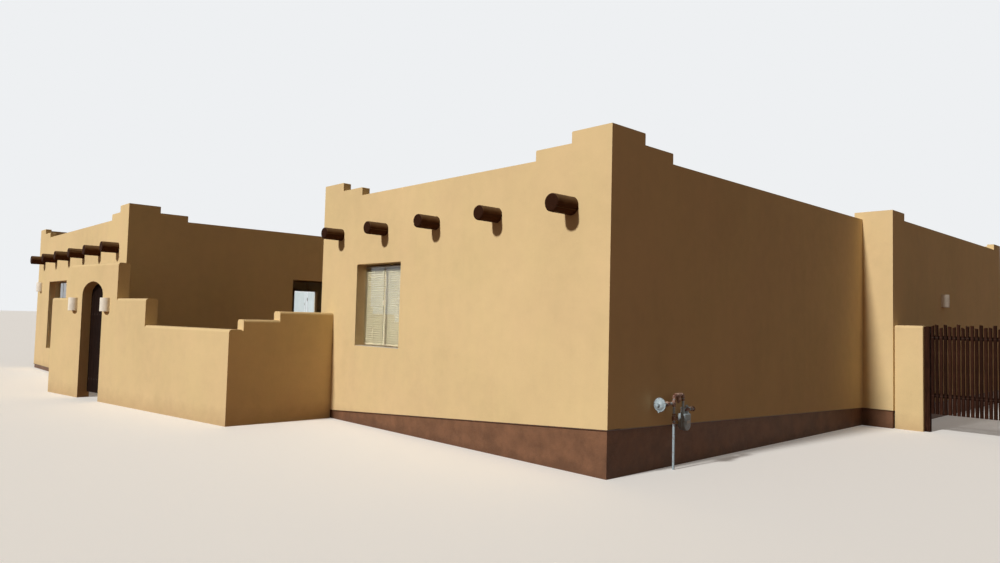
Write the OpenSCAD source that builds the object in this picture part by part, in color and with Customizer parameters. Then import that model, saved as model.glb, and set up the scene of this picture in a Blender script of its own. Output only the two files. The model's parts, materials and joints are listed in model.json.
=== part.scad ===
// Stucco-covered adobe house: three flat-roofed wings round a courtyard,
// stepped parapets, round roof logs, and a garden wall with an arched gateway.
// Lengths in millimetres. House datum: the near outer corner of the right
// wing, at the lower edge of its stucco. +X right, +Y back, +Z up.

/* [Near wing] */
// Length of the near wing's front
wing_len = 8080; // [7800:10:9500]
// Depth of the near wing, front face to rear block
wing_depth = 9400; // [8000:10:11000]

/* [Rear block] */
// How far the rear block stands out past the near wing's side
rear_step = 650; // [500:10:1200]
// Depth of the rear block
rear_depth = 9600; // [7000:10:11000]

/* [Far wing] */
// Width of the courtyard between the wings
court_w = 6520; // [6200:10:8000]
// Length of the far wing's front
far_len = 10500; // [10200:10:12000]
// How far the far wing's front stands forward of the near wing's
far_out = 2200; // [1800:10:2400]

/* [Walls] */
// Thickness of the outer walls
wall_t = 300; // [260:5:400]
// Thickness of the parapets above the roof
parapet_t = 180; // [120:5:220]
// Height of the corner blocks
top_corner = 4400; // [4300:5:4700]
// Height of the middle step
top_mid = 4220; // [4150:5:4280]
// Height of the long runs of parapet
top_main = 4050; // [3900:5:4130]
// Length of a corner block on the front
step_block = 770; // [500:10:1000]
// Length of a corner block on the sides
step_side = 815; // [500:5:1000]
// Length of the middle step
step_next = 750; // [500:10:1000]
// Rounding of the stucco at the steps
step_r = 20; // [15:5:70]

/* [Ground line] */
// Depth of the flat underside below the stucco at the near corner
base_drop = 700; // [650:10:900]
// Fall of the stucco's lower edge along the near front
fall_front = 560; // [300:10:600]
// Fall of the stucco's lower edge along the near side
fall_side = 300; // [150:10:500]
// How far the foundation stands back behind the stucco
plinth_in = 20; // [10:1:40]

/* [Roof and floor] */
// Underside of the roof decks
deck_z = 3405; // [3404:1:3440]
// Thickness of the roof decks
deck_t = 200; // [120:10:300]
// Top of the floor slabs
floor_z = 100; // [50:5:150]
// Thickness of the floor slabs
floor_t = 150; // [100:5:200]
// Width of the slabs' thickened edge
floor_edge = 350; // [200:10:500]

/* [Roof logs] */
// Diameter of the near wing's roof logs
log_d = 255; // [180:1:285]
// Diameter of the thick log nearest the near corner
log_big_d = 285; // [200:1:286]
// Height of the logs' axis
log_z = 3260; // [3100:1:3261]
// Length of log outside the wall
log_out = 430; // [300:10:700]
// Length of the thick log outside the wall
log_big_out = 455; // [300:5:700]
// Length of log inside the room
log_in = 600; // [100:10:1500]
// Gap round a log in its pocket
log_gap = 0.3; // [0.3:0.1:0.9]
// Rounding of the logs' ends
log_r = 28; // [10:1:40]
// First log of the near wing, in from the side
log_first = 755; // [500:5:800]
// Spacing of the near wing's logs
log_step = 1645; // [1300:1:1650]
// First log of the far wing, in from its right side
far_log_first = 850; // [600:5:900]
// Spacing of the far wing's logs
far_log_step = 1760; // [1500:1:1760]
// Diameter of the far wing's roof logs
far_log_d = 300; // [220:1:310]
// Height of the far wing's logs' axis
far_log_z = 3232; // [3100:1:3249]

/* [Front window] */
// Left edge of the front window, from the near corner
win_left = 6660; // [6400:10:6900]
// Width of the front window
win_w = 1550; // [1200:10:1700]
// Height of the window heads
win_head = 2590; // [2300:10:2800]
// Height of the front window's opening
win_h = 1690; // [1200:10:1800]
// Depth of the reveal in front of a frame
reveal = 150; // [60:5:180]
// Depth of a window frame
frame_d = 70; // [50:5:90]
// Width of a frame bar
frame_w = 60; // [40:1:80]
// Thickness of the glass
glass_t = 6; // [4:1:12]
// Spacing of the blind's slats
slat_step = 50; // [30:1:60]

/* [Other windows and doors] */
// Width of the other windows
win2_w = 1200; // [900:10:1300]
// Height of the other windows
win2_h = 1300; // [900:10:1400]
// Width of a door opening
door_w = 1050; // [900:10:1200]
// Height of the door heads
door_head = 2250; // [2100:10:2350]
// Thickness of the doors
door_t = 50; // [40:1:60]
// Left edge of the garden door, in from the far wing's left side
patio_in = 1770; // [1500:10:2000]
// Width of the garden door
patio_w = 2430; // [1800:10:2600]
// Height of the garden door's head
patio_head = 2440; // [2200:10:2600]

/* [Garden walls] */
// Thickness of the garden walls
garden_t = 280; // [240:5:320]
// Rounding of the garden walls' tops
cope_r = 60; // [30:5:90]
// Turn of the front garden wall from the house front, in degrees
garden_turn = 9; // [6:0.5:12]
// House side to the return wall's outer face
return_x = 7540; // [7300:10:7700]
// How far the return wall runs out from the house front
return_len = 2300; // [2200:10:2700]
// Height of the return wall beside the house
return_top1 = 1570; // [1480:10:1700]
// Height of the return wall's second level
return_top2 = 1390; // [1300:10:1450]
// Height of the return wall's end and the low wall
return_top3 = 1190; // [1100:10:1270]
// Length of the return wall's first level
return_run1 = 1240; // [900:10:1400]
// Length of the return wall's second level
return_run2 = 770; // [500:10:850]
// Length of the low front wall
low_len = 3360; // [3000:10:3600]
// Length of the taller wall right of the gateway
shoulder_r = 1390; // [1200:10:1500]
// Length of the taller wall left of the gateway
shoulder_l = 1070; // [900:10:1200]
// Height of the taller walls beside the gateway
shoulder_top = 1790; // [1700:10:1900]

/* [Gateway] */
// Width of the gateway block
gate_block = 2580; // [2400:10:2800]
// Height of the gateway block
gate_top = 2640; // [2550:10:2800]
// Width of the arched opening
arch_w = 1130; // [900:10:1140]
// Right side of the gateway block to the opening
arch_in = 740; // [600:10:850]
// Height where the arch starts to curve
arch_spring = 1860; // [1780:10:1900]
// Rise of the arch above its start
arch_rise = 345; // [310:5:400]
// Radius of the arch's haunches
arch_haunch = 250; // [150:5:300]
// Gap between the gate and the opening's sides
gate_gap = 12; // [8:1:20]
// Top edge of the gate
gate_head = 1740; // [1690:10:1760]
// Lower edge of the gate
gate_foot = -560; // [-600:5:-500]
// Thickness of the gate's boards
gate_t = 34; // [25:1:38]
// Thickness of the gate's rails
rail_t = 30; // [20:1:36]
// Height of a gate rail
rail_h = 110; // [80:5:150]
// Number of boards in the gate
gate_boards = 7; // [5:1:9]
// Diameter of the hinge pins
pin_d = 16; // [12:1:20]
// Running gap round a hinge pin
pin_gap = 0.5; // [0.3:0.1:0.8]
// Height of a hinge eye
eye_h = 60; // [40:5:80]

/* [Wall lights] */
// Radius of a half-round wall light
light_r = 150; // [90:5:160]
// Height of a wall light
light_h = 330; // [300:10:450]
// Thickness of a wall light's shell
light_t = 12; // [8:1:18]
// Lower edge of the gateway's lights
light_z = 1470; // [1380:10:1500]
// Lower edge of the lights on the house walls
light_z2 = 2110; // [1900:10:2150]
// Opening to the right gateway light's axis
light_off_r = 230; // [170:5:300]
// Opening to the left gateway light's axis
light_off_l = 410; // [300:5:600]
// Far wing's left side to its light's axis
light_far = 510; // [400:10:900]
// Rear block's corner to its light's axis
light_yard = 3660; // [3000:10:4500]

/* [Gas meter set] */
// Near corner to the regulator
gas_y = 1060; // [900:10:1600]
// Stucco to the meter set's pipes
gas_off = 150; // [125:5:180]
// Height of the regulator above the stucco's edge at the corner
gas_z = 305; // [280:5:400]
// Diameter of the regulator
reg_d = 210; // [160:5:230]
// Diameter of the pipes
pipe_d = 38; // [26:1:42]
// Regulator to the riser
gas_reach = 380; // [300:10:420]
// Riser to the meter
gas_run = 300; // [240:10:340]
// Rise of the pipe over the regulator, on its way to the meter
gas_loop = 120; // [80:10:160]
// Top of the meter below the regulator's axis
gas_drop = 170; // [140:10:200]
// Meter to the pipe's turn into the wall
gas_out = 240; // [200:10:300]

/* [Yard wall and fence] */
// Length of the stub wall
stub_len = 580; // [400:10:800]
// How far the stub wall stands back from the rear block's corner
stub_back = 80; // [40:5:150]
// Top of the stub wall
stub_top = 1610; // [1500:10:1750]
// Length of a fence bay
bay_len = 1600; // [1300:10:1900]
// Number of fence bays
bays = 2; // [1:1:3]
// Top of the fence
fence_top = 1660; // [1500:10:1800]
// Bottom of the fence poles
fence_foot = -300; // [-350:10:-250]
// Diameter of a fence pole
pole_d = 76; // [50:1:90]
// Width of a fence post
post_w = 110; // [100:5:140]

/* [Hidden] */
$fn = 48;
stucco = [0.878, 0.757, 0.553];
timber = [0.30, 0.17, 0.10];

far_x = -wing_len - court_w;
left_x = far_x - far_len;
back_y = wing_depth + rear_depth;
low_line = -fall_front;
step_in = wall_t - parapet_t;

// Distances along the front garden wall, from its corner
run_r = low_len + shoulder_r;
run_l = run_r + gate_block;
run_end = run_l + shoulder_l;
arch_r = run_r + arch_in;
arch_l = arch_r + arch_w;
arch_side = arch_w / 2 - arch_haunch;
arch_big = (arch_side * arch_side + arch_rise * arch_rise
  - arch_haunch * arch_haunch) / (2 * (arch_rise - arch_haunch));
arch_t = atan2(arch_big - arch_rise, arch_side);
end_x = -return_x - run_end * cos(garden_turn);
end_y = -return_len - run_end * sin(garden_turn);
fence_x = rear_step + stub_len;
fence_y = wing_depth + stub_back + garden_t / 2;
right_x = fence_x + bays * bay_len + post_w;

// The model's origin: the middle of its outline, at the underside
mid_x = (left_x + right_x) / 2;
mid_y = (end_y + back_y) / 2;
module place() translate([-mid_x, -mid_y, base_drop]) children();

// Where each wall stands: local x along it, local y into the house
module at_near_front() translate([-wing_len, 0, 0]) children();
module at_near_side() rotate([0, 0, 90]) children();
module at_near_court()
  translate([-wing_len, wing_depth, 0]) rotate([0, 0, -90]) children();
module at_rear_return() translate([-wall_t, wing_depth, 0]) children();
module at_rear_side()
  translate([rear_step, wing_depth, 0]) rotate([0, 0, 90]) children();
module at_rear_back()
  translate([rear_step, back_y, 0]) rotate([0, 0, 180]) children();
module at_court_back()
  translate([far_x - wall_t, wing_depth, 0]) children();
module at_far_front() translate([left_x, -far_out, 0]) children();
module at_far_court()
  translate([far_x, -far_out, 0]) rotate([0, 0, 90]) children();
module at_far_side()
  translate([left_x, back_y, 0]) rotate([0, 0, -90]) children();
// Along the front garden wall: x = -distance from the corner, y inwards
module at_garden()
  translate([-return_x, -return_len, 0]) rotate([0, 0, garden_turn])
    children();

near_side_len = wing_depth;
rear_back_len = rear_step - left_x;
court_back_len = court_w + 2 * wall_t;
far_court_len = wing_depth + far_out;
far_side_len = back_y + far_out;

// Arc that rounds the right-angled corner at p, from side u to side v
function arc(p, u, v, r, n = 5) =
  [for (i = [0:n]) p + r * (u + v - v * cos(90 * i / n) - u * sin(90 * i / n))];

// Top outline of a parapet, right to left; runs = [[x end, height], ...]
function crown(runs, n) = [for (i = [n - 1:-1:0])
  let (x1 = runs[i][0], x0 = i > 0 ? runs[i - 1][0] : 0, h = runs[i][1],
       down1 = i < n - 1 && h > runs[i + 1][1],
       down0 = i > 0 && h > runs[i - 1][1])
  each concat(
    down1 ? arc([x1, h], [0, -1], [-1, 0], step_r) : [[x1, h]],
    down0 ? arc([x0, h], [1, 0], [0, -1], step_r) : [[x0, h]])];

// Outlines of the parapets: stepped up at both ends, or at one
function steps_both(len) = [
  [step_block, top_corner], [step_block + step_next, top_mid],
  [len - step_block - step_next, top_main],
  [len - step_block, top_mid], [len, top_corner]];
function steps_start(len) = [
  [step_side, top_corner], [step_side + step_next, top_mid],
  [len, top_main]];
function steps_end(len) = [
  [len - step_side - step_next, top_main],
  [len - step_side, top_mid], [len, top_corner]];
function low_steps(len) = [
  [step_block, top_mid], [len - step_block, top_main], [len, top_mid]];

// Upright slab: an outline in x and z, t thick from the outer face inwards
module slab(pts, t)
  translate([0, t, 0]) rotate([90, 0, 0]) linear_extrude(t) polygon(pts);

// A wall with its thinner parapet; z0 and z1 are the stucco's lower edge.
// l0 and l1 shorten the wall, p0 and p1 the parapet, where others cross.
module stucco_wall(len, runs, z0, z1, l0 = 0, l1 = 0, p0 = 0, p1 = 0) {
  za = z0 + (z1 - z0) * l0 / len;
  zb = z1 - (z1 - z0) * l1 / len;
  color(stucco) difference() {
    union() {
      slab([[l0, za], [len - l1, zb], [len - l1, deck_z], [l0, deck_z]],
           wall_t);
      intersection() {
        slab(concat([[0, deck_z], [len, deck_z]],
                    crown(runs, len_of(runs))), parapet_t);
        translate([p0, -1, deck_z])
          cube([len - p0 - p1, wall_t, top_corner]);
      }
    }
    children();
  }
}
function len_of(v) = len(v);

// Foundation under a wall, behind the stucco's face; a and b shorten it,
// and a negative b carries it on level to meet the next wall's
module foundation(len, z0, z1, a = plinth_in, b = plinth_in)
  color([0.36, 0.27, 0.20]) translate([0, plinth_in, 0])
    slab(concat(
      [[a, -base_drop], [len - b, -base_drop],
       [len - b, z1 - (z1 - z0) * max(b, 0) / len]],
      b < 0 && z0 != z1 ? [[len, z1]] : [],
      [[a, z0 + (z1 - z0) * a / len]]), wall_t - plinth_in);

// Opening cut through a wall, from x to x + w and z0 to z1
module hole(x, w, z0, z1)
  translate([x, -1, z0]) cube([w, wall_t + 2, z1 - z0]);

// Pocket for a roof log at x
module pocket(x, d, z)
  translate([x, wall_t + 1, z]) rotate([90, 0, 0])
    cylinder(d = d + 2 * log_gap, h = wall_t + 2);

// A peeled roof log, through the wall at x, its ends rounded
module roof_log(x, d, z, out = log_out) {
  r = d / 2;
  l = out + wall_t + log_in;
  end = [for (i = [0:4]) [r - log_r + log_r * sin(90 * i / 4),
                          log_r - log_r * cos(90 * i / 4)]];
  tail = [for (i = [0:4]) [r - log_r + log_r * cos(90 * i / 4),
                           l - log_r + log_r * sin(90 * i / 4)]];
  color(timber) translate([x, -out, z]) rotate([-90, 0, 0])
    rotate_extrude() polygon(concat([[0, 0]], end, tail, [[0, l]]));
}

// Fixed frame with one upright bar, behind the reveal
module window_frame(x, w, z0, z1) {
  color("white") translate([x, reveal, z0]) difference() {
    cube([w, frame_d, z1 - z0]);
    for (i = [0, 1])
      translate([frame_w + i * (w - frame_w) / 2, -1, frame_w])
        cube([(w - 3 * frame_w) / 2, frame_d + 2, z1 - z0 - 2 * frame_w]);
  }
}
module window_glass(x, w, z0, z1)
  color([0.6, 0.7, 0.75, 0.4])
    for (i = [0, 1])
      translate([x + frame_w + i * (w - frame_w) / 2,
                 reveal + (frame_d - glass_t) / 2, z0 + frame_w])
        cube([(w - 3 * frame_w) / 2, glass_t, z1 - z0 - 2 * frame_w]);

// Wooden door with sunk panels, and the frame that it hangs in
module door_slab(x) {
  w = door_w - 2 * frame_w;
  h = door_head - floor_z - frame_w;
  color(timber) translate([x + frame_w, reveal, floor_z]) difference() {
    cube([w, door_t, h]);
    for (i = [0, 1], j = [0, 1])
      translate([0.12 * w + i * 0.41 * w, -1, 0.08 * h + j * 0.47 * h])
        cube([0.35 * w, 1 + door_t / 4, (j == 0 ? 0.40 : 0.37) * h]);
    translate([0.94 * w, -1, 0.45 * h]) rotate([-90, 0, 0])
      cylinder(d = 30, h = door_t / 2);
  }
}
module door_frame(x)
  color(timber) translate([x, reveal, floor_z]) difference() {
    cube([door_w, frame_d, door_head - floor_z]);
    translate([frame_w, -1, -1])
      cube([door_w - 2 * frame_w, frame_d + 2,
            door_head - floor_z - frame_w + 1]);
  }

// Positions of the repeated windows along each wall
near_court_wins = [wing_depth * 0.3, wing_depth * 0.68];
court_back_wins = [900, court_back_len - 900 - win2_w];
far_court_wins = [far_court_len * 0.42, far_court_len * 0.72];
far_side_wins = [for (i = [0:4]) far_side_len * (0.1 + 0.18 * i)];
rear_back_wins = [for (i = [0:4]) rear_back_len * (0.08 + 0.19 * i)];
entry_x = (court_back_len - door_w) / 2;
back_door_x = rear_back_wins[2] + win2_w + 900;
win2_z = win_head - win2_h;
// As many roof logs as a front has room for
near_last = floor((wing_len - log_first - wall_t - log_d) / log_step);
far_last = floor((far_len - far_log_first - wall_t - far_log_d)
                 / far_log_step);
near_log_x = [for (i = [0:near_last]) wing_len - log_first - i * log_step];
function near_log_d(i) = i == 0 ? log_big_d : log_d;
far_log_x = [for (i = [0:far_last])
  far_len - far_log_first - i * far_log_step];
win_x = wing_len - win_left;
win_z = win_head - win_h;

module near_front_wall() place() at_near_front()
  stucco_wall(wing_len, steps_both(wing_len), low_line, 0) {
    hole(win_x, win_w, win_z, win_head);
    for (i = [0:near_last]) pocket(near_log_x[i], near_log_d(i), log_z);
  }
module near_side_wall() place() at_near_side()
  stucco_wall(near_side_len, steps_start(near_side_len), 0, -fall_side,
              l0 = wall_t, p0 = parapet_t);
module near_court_wall() place() at_near_court()
  stucco_wall(wing_depth, steps_end(wing_depth), low_line, low_line,
              l1 = wall_t, p1 = parapet_t)
    for (x = near_court_wins) hole(x, win2_w, win2_z, win_head);
module foundation_stem() place() {
  reach = -plinth_in;
  at_near_front() foundation(wing_len, low_line, 0);
  at_near_side() foundation(near_side_len, 0, -fall_side, a = wall_t,
                            b = reach);
  at_near_court() foundation(wing_depth, low_line, low_line, a = reach,
                             b = wall_t);
  at_rear_return() foundation(rear_step + wall_t, -fall_side, -fall_side,
                              a = 0);
  at_rear_side() foundation(rear_depth, -fall_side, -fall_side,
                            a = wall_t, b = wall_t);
  at_rear_back() foundation(rear_back_len, -fall_side, low_line);
  at_court_back() foundation(court_back_len, low_line, low_line,
                             a = 0, b = 0);
  at_far_front() foundation(far_len, low_line, low_line);
  at_far_court() foundation(far_court_len, low_line, low_line,
                            a = wall_t, b = reach);
  at_far_side() foundation(far_side_len, low_line, low_line,
                           a = wall_t, b = wall_t);
}
module near_logs() place() at_near_front()
  for (i = [0:near_last])
    roof_log(near_log_x[i], near_log_d(i), log_z,
             i == 0 ? log_big_out : log_out);
module near_window_frame() place() at_near_front()
  window_frame(win_x, win_w, win_z, win_head);
module near_window_glass() place() at_near_front()
  window_glass(win_x, win_w, win_z, win_head);

// Drawn blind: tilted slats on two ladder tapes, close behind the frame
module near_window_blind() place() at_near_front() {
  n = floor((win_h - 40) / slat_step);
  color("white") translate([win_x + 15, reveal + frame_d + 0.3, win_z + 20]) {
    for (i = [0:n - 1]) translate([0, 0, i * slat_step])
      rotate([90, 0, 90]) linear_extrude(win_w - 30)
        polygon([[0, 0], [4, 0], [24, slat_step - 6], [20, slat_step - 6]]);
    for (x = [win_w * 0.2, win_w * 0.8])
      translate([x, 8, 0]) cube([12, 6, n * slat_step - 6]);
  }
}

module rear_return_wall() place() at_rear_return()
  stucco_wall(rear_step + wall_t, [[rear_step + wall_t, top_mid]],
              -fall_side, -fall_side, p0 = step_in);
module rear_side_wall() place() at_rear_side()
  stucco_wall(rear_depth, low_steps(rear_depth), -fall_side, -fall_side,
              l0 = wall_t, l1 = wall_t, p0 = parapet_t, p1 = parapet_t);
module rear_back_wall() place() at_rear_back()
  stucco_wall(rear_back_len, low_steps(rear_back_len), -fall_side, low_line)
  {
    for (x = rear_back_wins) hole(x, win2_w, win2_z, win_head);
    hole(back_door_x, door_w, floor_z, door_head);
  }
module court_back_wall() place() at_court_back()
  stucco_wall(court_back_len, [[court_back_len, top_main]], low_line,
              low_line, p0 = step_in, p1 = step_in) {
    for (x = court_back_wins) hole(x, win2_w, win2_z, win_head);
    hole(entry_x, door_w, floor_z, door_head);
  }

module far_front_wall() place() at_far_front()
  stucco_wall(far_len, steps_both(far_len), low_line, low_line) {
    hole(patio_in, patio_w, floor_z, patio_head);
    for (x = far_log_x) pocket(x, far_log_d, far_log_z);
  }
module far_court_wall() place() at_far_court()
  stucco_wall(far_court_len, steps_start(far_court_len), low_line, low_line,
              l0 = wall_t, p0 = parapet_t)
    for (x = far_court_wins) hole(x, win2_w, win2_z, win_head);
module far_side_wall() place() at_far_side()
  stucco_wall(far_side_len, steps_end(far_side_len), low_line, low_line,
              l0 = wall_t, l1 = wall_t, p0 = parapet_t, p1 = parapet_t)
    for (x = far_side_wins) hole(x, win2_w, win2_z, win_head);
module far_logs() place() at_far_front()
  for (x = far_log_x) roof_log(x, far_log_d, far_log_z);

// Roof deck between x0..x1 and y0..y1, resting on the walls' ledges
module deck(x0, x1, y0, y1)
  color([0.62, 0.55, 0.45]) translate([x0, y0, deck_z])
    cube([x1 - x0, y1 - y0, deck_t]);
roof_y = wing_depth + parapet_t;
module near_roof_deck() place()
  deck(-wing_len + parapet_t, -parapet_t, parapet_t, roof_y);
module rear_roof_deck() place()
  deck(left_x + parapet_t, rear_step - parapet_t, roof_y,
       back_y - parapet_t);
module far_roof_deck() place()
  deck(left_x + parapet_t, far_x - parapet_t, -far_out + parapet_t, roof_y);

// Floor slab with a thickened edge that stands on the ground
module ground_slab(x0, x1, y0, y1)
  color([0.55, 0.38, 0.28]) difference() {
    translate([x0, y0, -base_drop])
      cube([x1 - x0, y1 - y0, base_drop + floor_z]);
    translate([x0 + floor_edge, y0 + floor_edge, -base_drop - 1])
      cube([x1 - x0 - 2 * floor_edge, y1 - y0 - 2 * floor_edge,
            base_drop + floor_z - floor_t + 1]);
  }
floor_y = wing_depth + wall_t;
module near_floor() place()
  ground_slab(-wing_len + wall_t, -wall_t, wall_t, floor_y);
module rear_floor() place()
  ground_slab(left_x + wall_t, rear_step - wall_t, floor_y,
              back_y - wall_t);
module far_floor() place()
  ground_slab(left_x + wall_t, far_x - wall_t, -far_out + wall_t, floor_y);

module garden_door_frame() place() at_far_front()
  window_frame(patio_in, patio_w, floor_z, patio_head);
module garden_door_glass() place() at_far_front()
  window_glass(patio_in, patio_w, floor_z, patio_head);
// Each repeated window, in the wall that it belongs to
module each_plain_window() {
  at_near_court() for (x = near_court_wins) translate([x, 0, 0]) children();
  at_court_back() for (x = court_back_wins) translate([x, 0, 0]) children();
  at_far_court() for (x = far_court_wins) translate([x, 0, 0]) children();
  at_far_side() for (x = far_side_wins) translate([x, 0, 0]) children();
  at_rear_back() for (x = rear_back_wins) translate([x, 0, 0]) children();
}
module plain_window_frames() place() each_plain_window()
  window_frame(0, win2_w, win2_z, win_head);
module plain_window_glass() place() each_plain_window()
  window_glass(0, win2_w, win2_z, win_head);
module entry_door() place() at_court_back() door_slab(entry_x);
module back_door() place() at_rear_back() door_slab(back_door_x);
module door_frames() place() {
  at_court_back() door_frame(entry_x);
  at_rear_back() door_frame(back_door_x);
}

// Garden wall run with a rounded top: from -x1 to -x0 along local x
module coped(x0, x1, top, t = garden_t) {
  pts = concat([[0, -base_drop], [t, -base_drop]],
               arc([t, top], [0, -1], [-1, 0], cope_r),
               arc([0, top], [1, 0], [0, -1], cope_r));
  color(stucco) translate([-x1, 0, 0]) rotate([90, 0, 90])
    linear_extrude(x1 - x0) polygon(pts);
}
module garden_low_wall() place() difference() {
  at_garden() coped(-garden_t / 2, low_len, return_top3);
  translate([-return_x, -return_len - garden_t, -base_drop - 1])
    cube([garden_t, 3 * garden_t, base_drop + gate_top]);
}
// Takes away what would stand in the front garden wall, near local x
module garden_trim(x) at_garden()
  translate([x - 2 * garden_t, -3 * garden_t, -base_drop - 1])
    cube([4 * garden_t, 4 * garden_t, base_drop + gate_top]);
// Runs out from the house front in three levels, to the low wall's back
module garden_return_wall() place() difference() {
  translate([-return_x, 0, 0]) rotate([0, 0, 90]) {
    coped(0, return_run1, return_top1);
    coped(return_run1 - 1, return_run1 + return_run2, return_top2);
    coped(return_run1 + return_run2 - 1, return_len, return_top3);
  }
  garden_trim(0);
}
module garden_shoulder_right() place() at_garden()
  coped(low_len, run_r, shoulder_top);
module garden_shoulder_left() place() at_garden()
  coped(run_l, run_end, shoulder_top);
// Closes the garden between the left end and the far wing's front
module garden_end_wall() place() difference() {
  translate([end_x, -far_out, 0]) rotate([0, 0, 90]) mirror([0, 1, 0])
    coped(0, -far_out - end_y, shoulder_top);
  garden_trim(-run_end);
}

module gateway_piers() place() at_garden() color(stucco) {
  translate([-arch_r, 0, -base_drop])
    cube([arch_in, garden_t, base_drop + arch_spring]);
  translate([-run_l, 0, -base_drop])
    cube([run_l - arch_l, garden_t, base_drop + arch_spring]);
}
// Outline of the arch above its start, right to left
function arch_curve(n = 8) = concat(
  [for (i = [0:n]) [arch_side + arch_haunch * cos(arch_t * i / n),
    arch_haunch * sin(arch_t * i / n)]],
  [for (i = [1:3 * n - 1])
    let (u = arch_t + (180 - 2 * arch_t) * i / (3 * n))
    [arch_big * cos(u), arch_big * sin(u) - arch_big + arch_rise]],
  [for (i = [n:-1:0]) [-arch_side - arch_haunch * cos(arch_t * i / n),
    arch_haunch * sin(arch_t * i / n)]]);

// The block over the opening, rounded along its top, with the arch
module gateway_arch() place() at_garden() difference() {
  intersection() {
    coped(run_r, run_l, gate_top);
    translate([-run_l, -1, arch_spring])
      cube([gate_block, garden_t + 2, gate_top]);
  }
  translate([-(arch_r + arch_l) / 2, garden_t + 1, arch_spring])
    rotate([90, 0, 0]) linear_extrude(garden_t + 2)
      polygon(concat([[-arch_w / 2, -1], [arch_w / 2, -1]], arch_curve()));
}

// Gate hinge line: on the left side of the opening, behind the wall
hinge_out = 24;
hinge_x = -arch_l + gate_gap;
hinge_y = garden_t + hinge_out;
hinge_zs = [gate_foot + 300, gate_head - 380];
eye_r = pin_d / 2 + pin_gap + 8;

// Pins on plates fixed to the back of the left pier
module gate_pins() place() at_garden() color([0.15, 0.13, 0.12])
  for (z = hinge_zs) {
    translate([hinge_x, hinge_y, z - 30]) cylinder(d = pin_d, h = eye_h + 50);
    translate([hinge_x - 12, hinge_y - pin_d / 2, z - 60])
      cube([12 + pin_d / 2, pin_d, 30 - 0]);
    translate([-arch_l - 90, garden_t, z - 80]) cube([70, 10, 120]);
    translate([-arch_l - 50, garden_t, z - 60])
      cube([50 + gate_gap, hinge_out - 2, 30]);
  }

// Boarded gate with two rails behind and two hinge straps
module gate_leaf() place() at_garden() {
  w = arch_w - 2 * gate_gap;
  bw = w / gate_boards;
  y1 = garden_t - rail_t;
  color([0.24, 0.10, 0.07]) difference() {
    union() {
      translate([hinge_x, y1 - gate_t, gate_foot])
        cube([w, gate_t, gate_head - gate_foot]);
      for (z = hinge_zs)
        translate([hinge_x + 30, y1 - 1, z + eye_h / 2 - rail_h / 2])
          cube([w - 60, rail_t + 1, rail_h]);
    }
    for (i = [1:gate_boards - 1])
      translate([hinge_x + i * bw - 4, y1 - gate_t - 1, gate_foot - 1])
        cube([8, 9, gate_head - gate_foot + 2]);
  }
  color([0.15, 0.13, 0.12]) for (z = hinge_zs) difference() {
    union() {
      translate([hinge_x, garden_t, z + eye_h / 2 - 20])
        cube([w * 0.6, 8, 40]);
      translate([hinge_x, garden_t + 3, z]) cube([eye_r, hinge_out - 3, eye_h]);
      translate([hinge_x, hinge_y, z]) cylinder(r = eye_r, h = eye_h);
    }
    translate([hinge_x, hinge_y, z - 1])
      cylinder(d = pin_d + 2 * pin_gap, h = eye_h + 2);
  }
}

// Half-round wall light, open at the top, closed below; back on y = 0
module wall_light() color([0.93, 0.88, 0.78]) intersection() {
  translate([-light_r, -light_r, 0]) cube([2 * light_r, light_r, light_h]);
  difference() {
    cylinder(r = light_r, h = light_h);
    translate([0, 0, light_t])
      cylinder(r = light_r - light_t, h = light_h);
  }
}
module gateway_lights() place() at_garden() {
  translate([-arch_r + light_off_r, 0, light_z]) wall_light();
  translate([-arch_l - light_off_l, 0, light_z]) wall_light();
}
module house_lights() place() {
  at_far_front() translate([light_far, 0, light_z2]) wall_light();
  at_rear_side() translate([light_yard, 0, light_z2]) wall_light();
}

// Gas meter set on the near side wall; local x along the wall
riser_x = gas_y + gas_reach;
meter_x = riser_x + gas_run;
meter_z = gas_z - gas_drop;
loop_z = gas_z + gas_loop;
meter_r = 95;
meter_d = 130;
meter_h = 175;
port = 50;
reg_back = 46;
module elbow(x, z) translate([x, 0, z]) sphere(d = pipe_d * 1.4);
module along(x, z, l)
  translate([x, 0, z]) rotate([0, 90, 0]) cylinder(d = pipe_d, h = l);
module gas_riser() place() at_near_side()
  translate([0, -gas_off, 0]) color([0.62, 0.62, 0.60]) {
    translate([riser_x, 0, -base_drop])
      cylinder(d = pipe_d, h = base_drop + loop_z);
    elbow(riser_x, gas_z);
    along(gas_y + reg_back + 0.3, gas_z, gas_reach - reg_back - 0.3);
    elbow(riser_x, loop_z);
    along(riser_x, loop_z, gas_run - port);
    elbow(meter_x - port, loop_z);
    translate([meter_x - port, 0, meter_z])
      cylinder(d = pipe_d, h = loop_z - meter_z);
    translate([meter_x + port, 0, meter_z]) cylinder(d = pipe_d, h = port);
    elbow(meter_x + port, meter_z + port);
    along(meter_x + port, meter_z + port, gas_out);
    elbow(meter_x + port + gas_out, meter_z + port);
    translate([meter_x + port + gas_out, 0, meter_z + port])
      rotate([-90, 0, 0]) cylinder(d = pipe_d, h = gas_off);
  }
module gas_regulator() place() at_near_side()
  translate([gas_y, -gas_off, gas_z]) color([0.72, 0.74, 0.73])
    rotate([0, -90, 0]) rotate_extrude()
      polygon([[0, -reg_back], [28, -reg_back], [28, -30],
               [reg_d * 0.3, -26], [reg_d * 0.36, -8], [reg_d / 2, -8],
               [reg_d / 2, 6], [reg_d * 0.40, 10], [reg_d * 0.27, 36],
               [28, 44], [28, 76], [0, 76]]);
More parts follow.
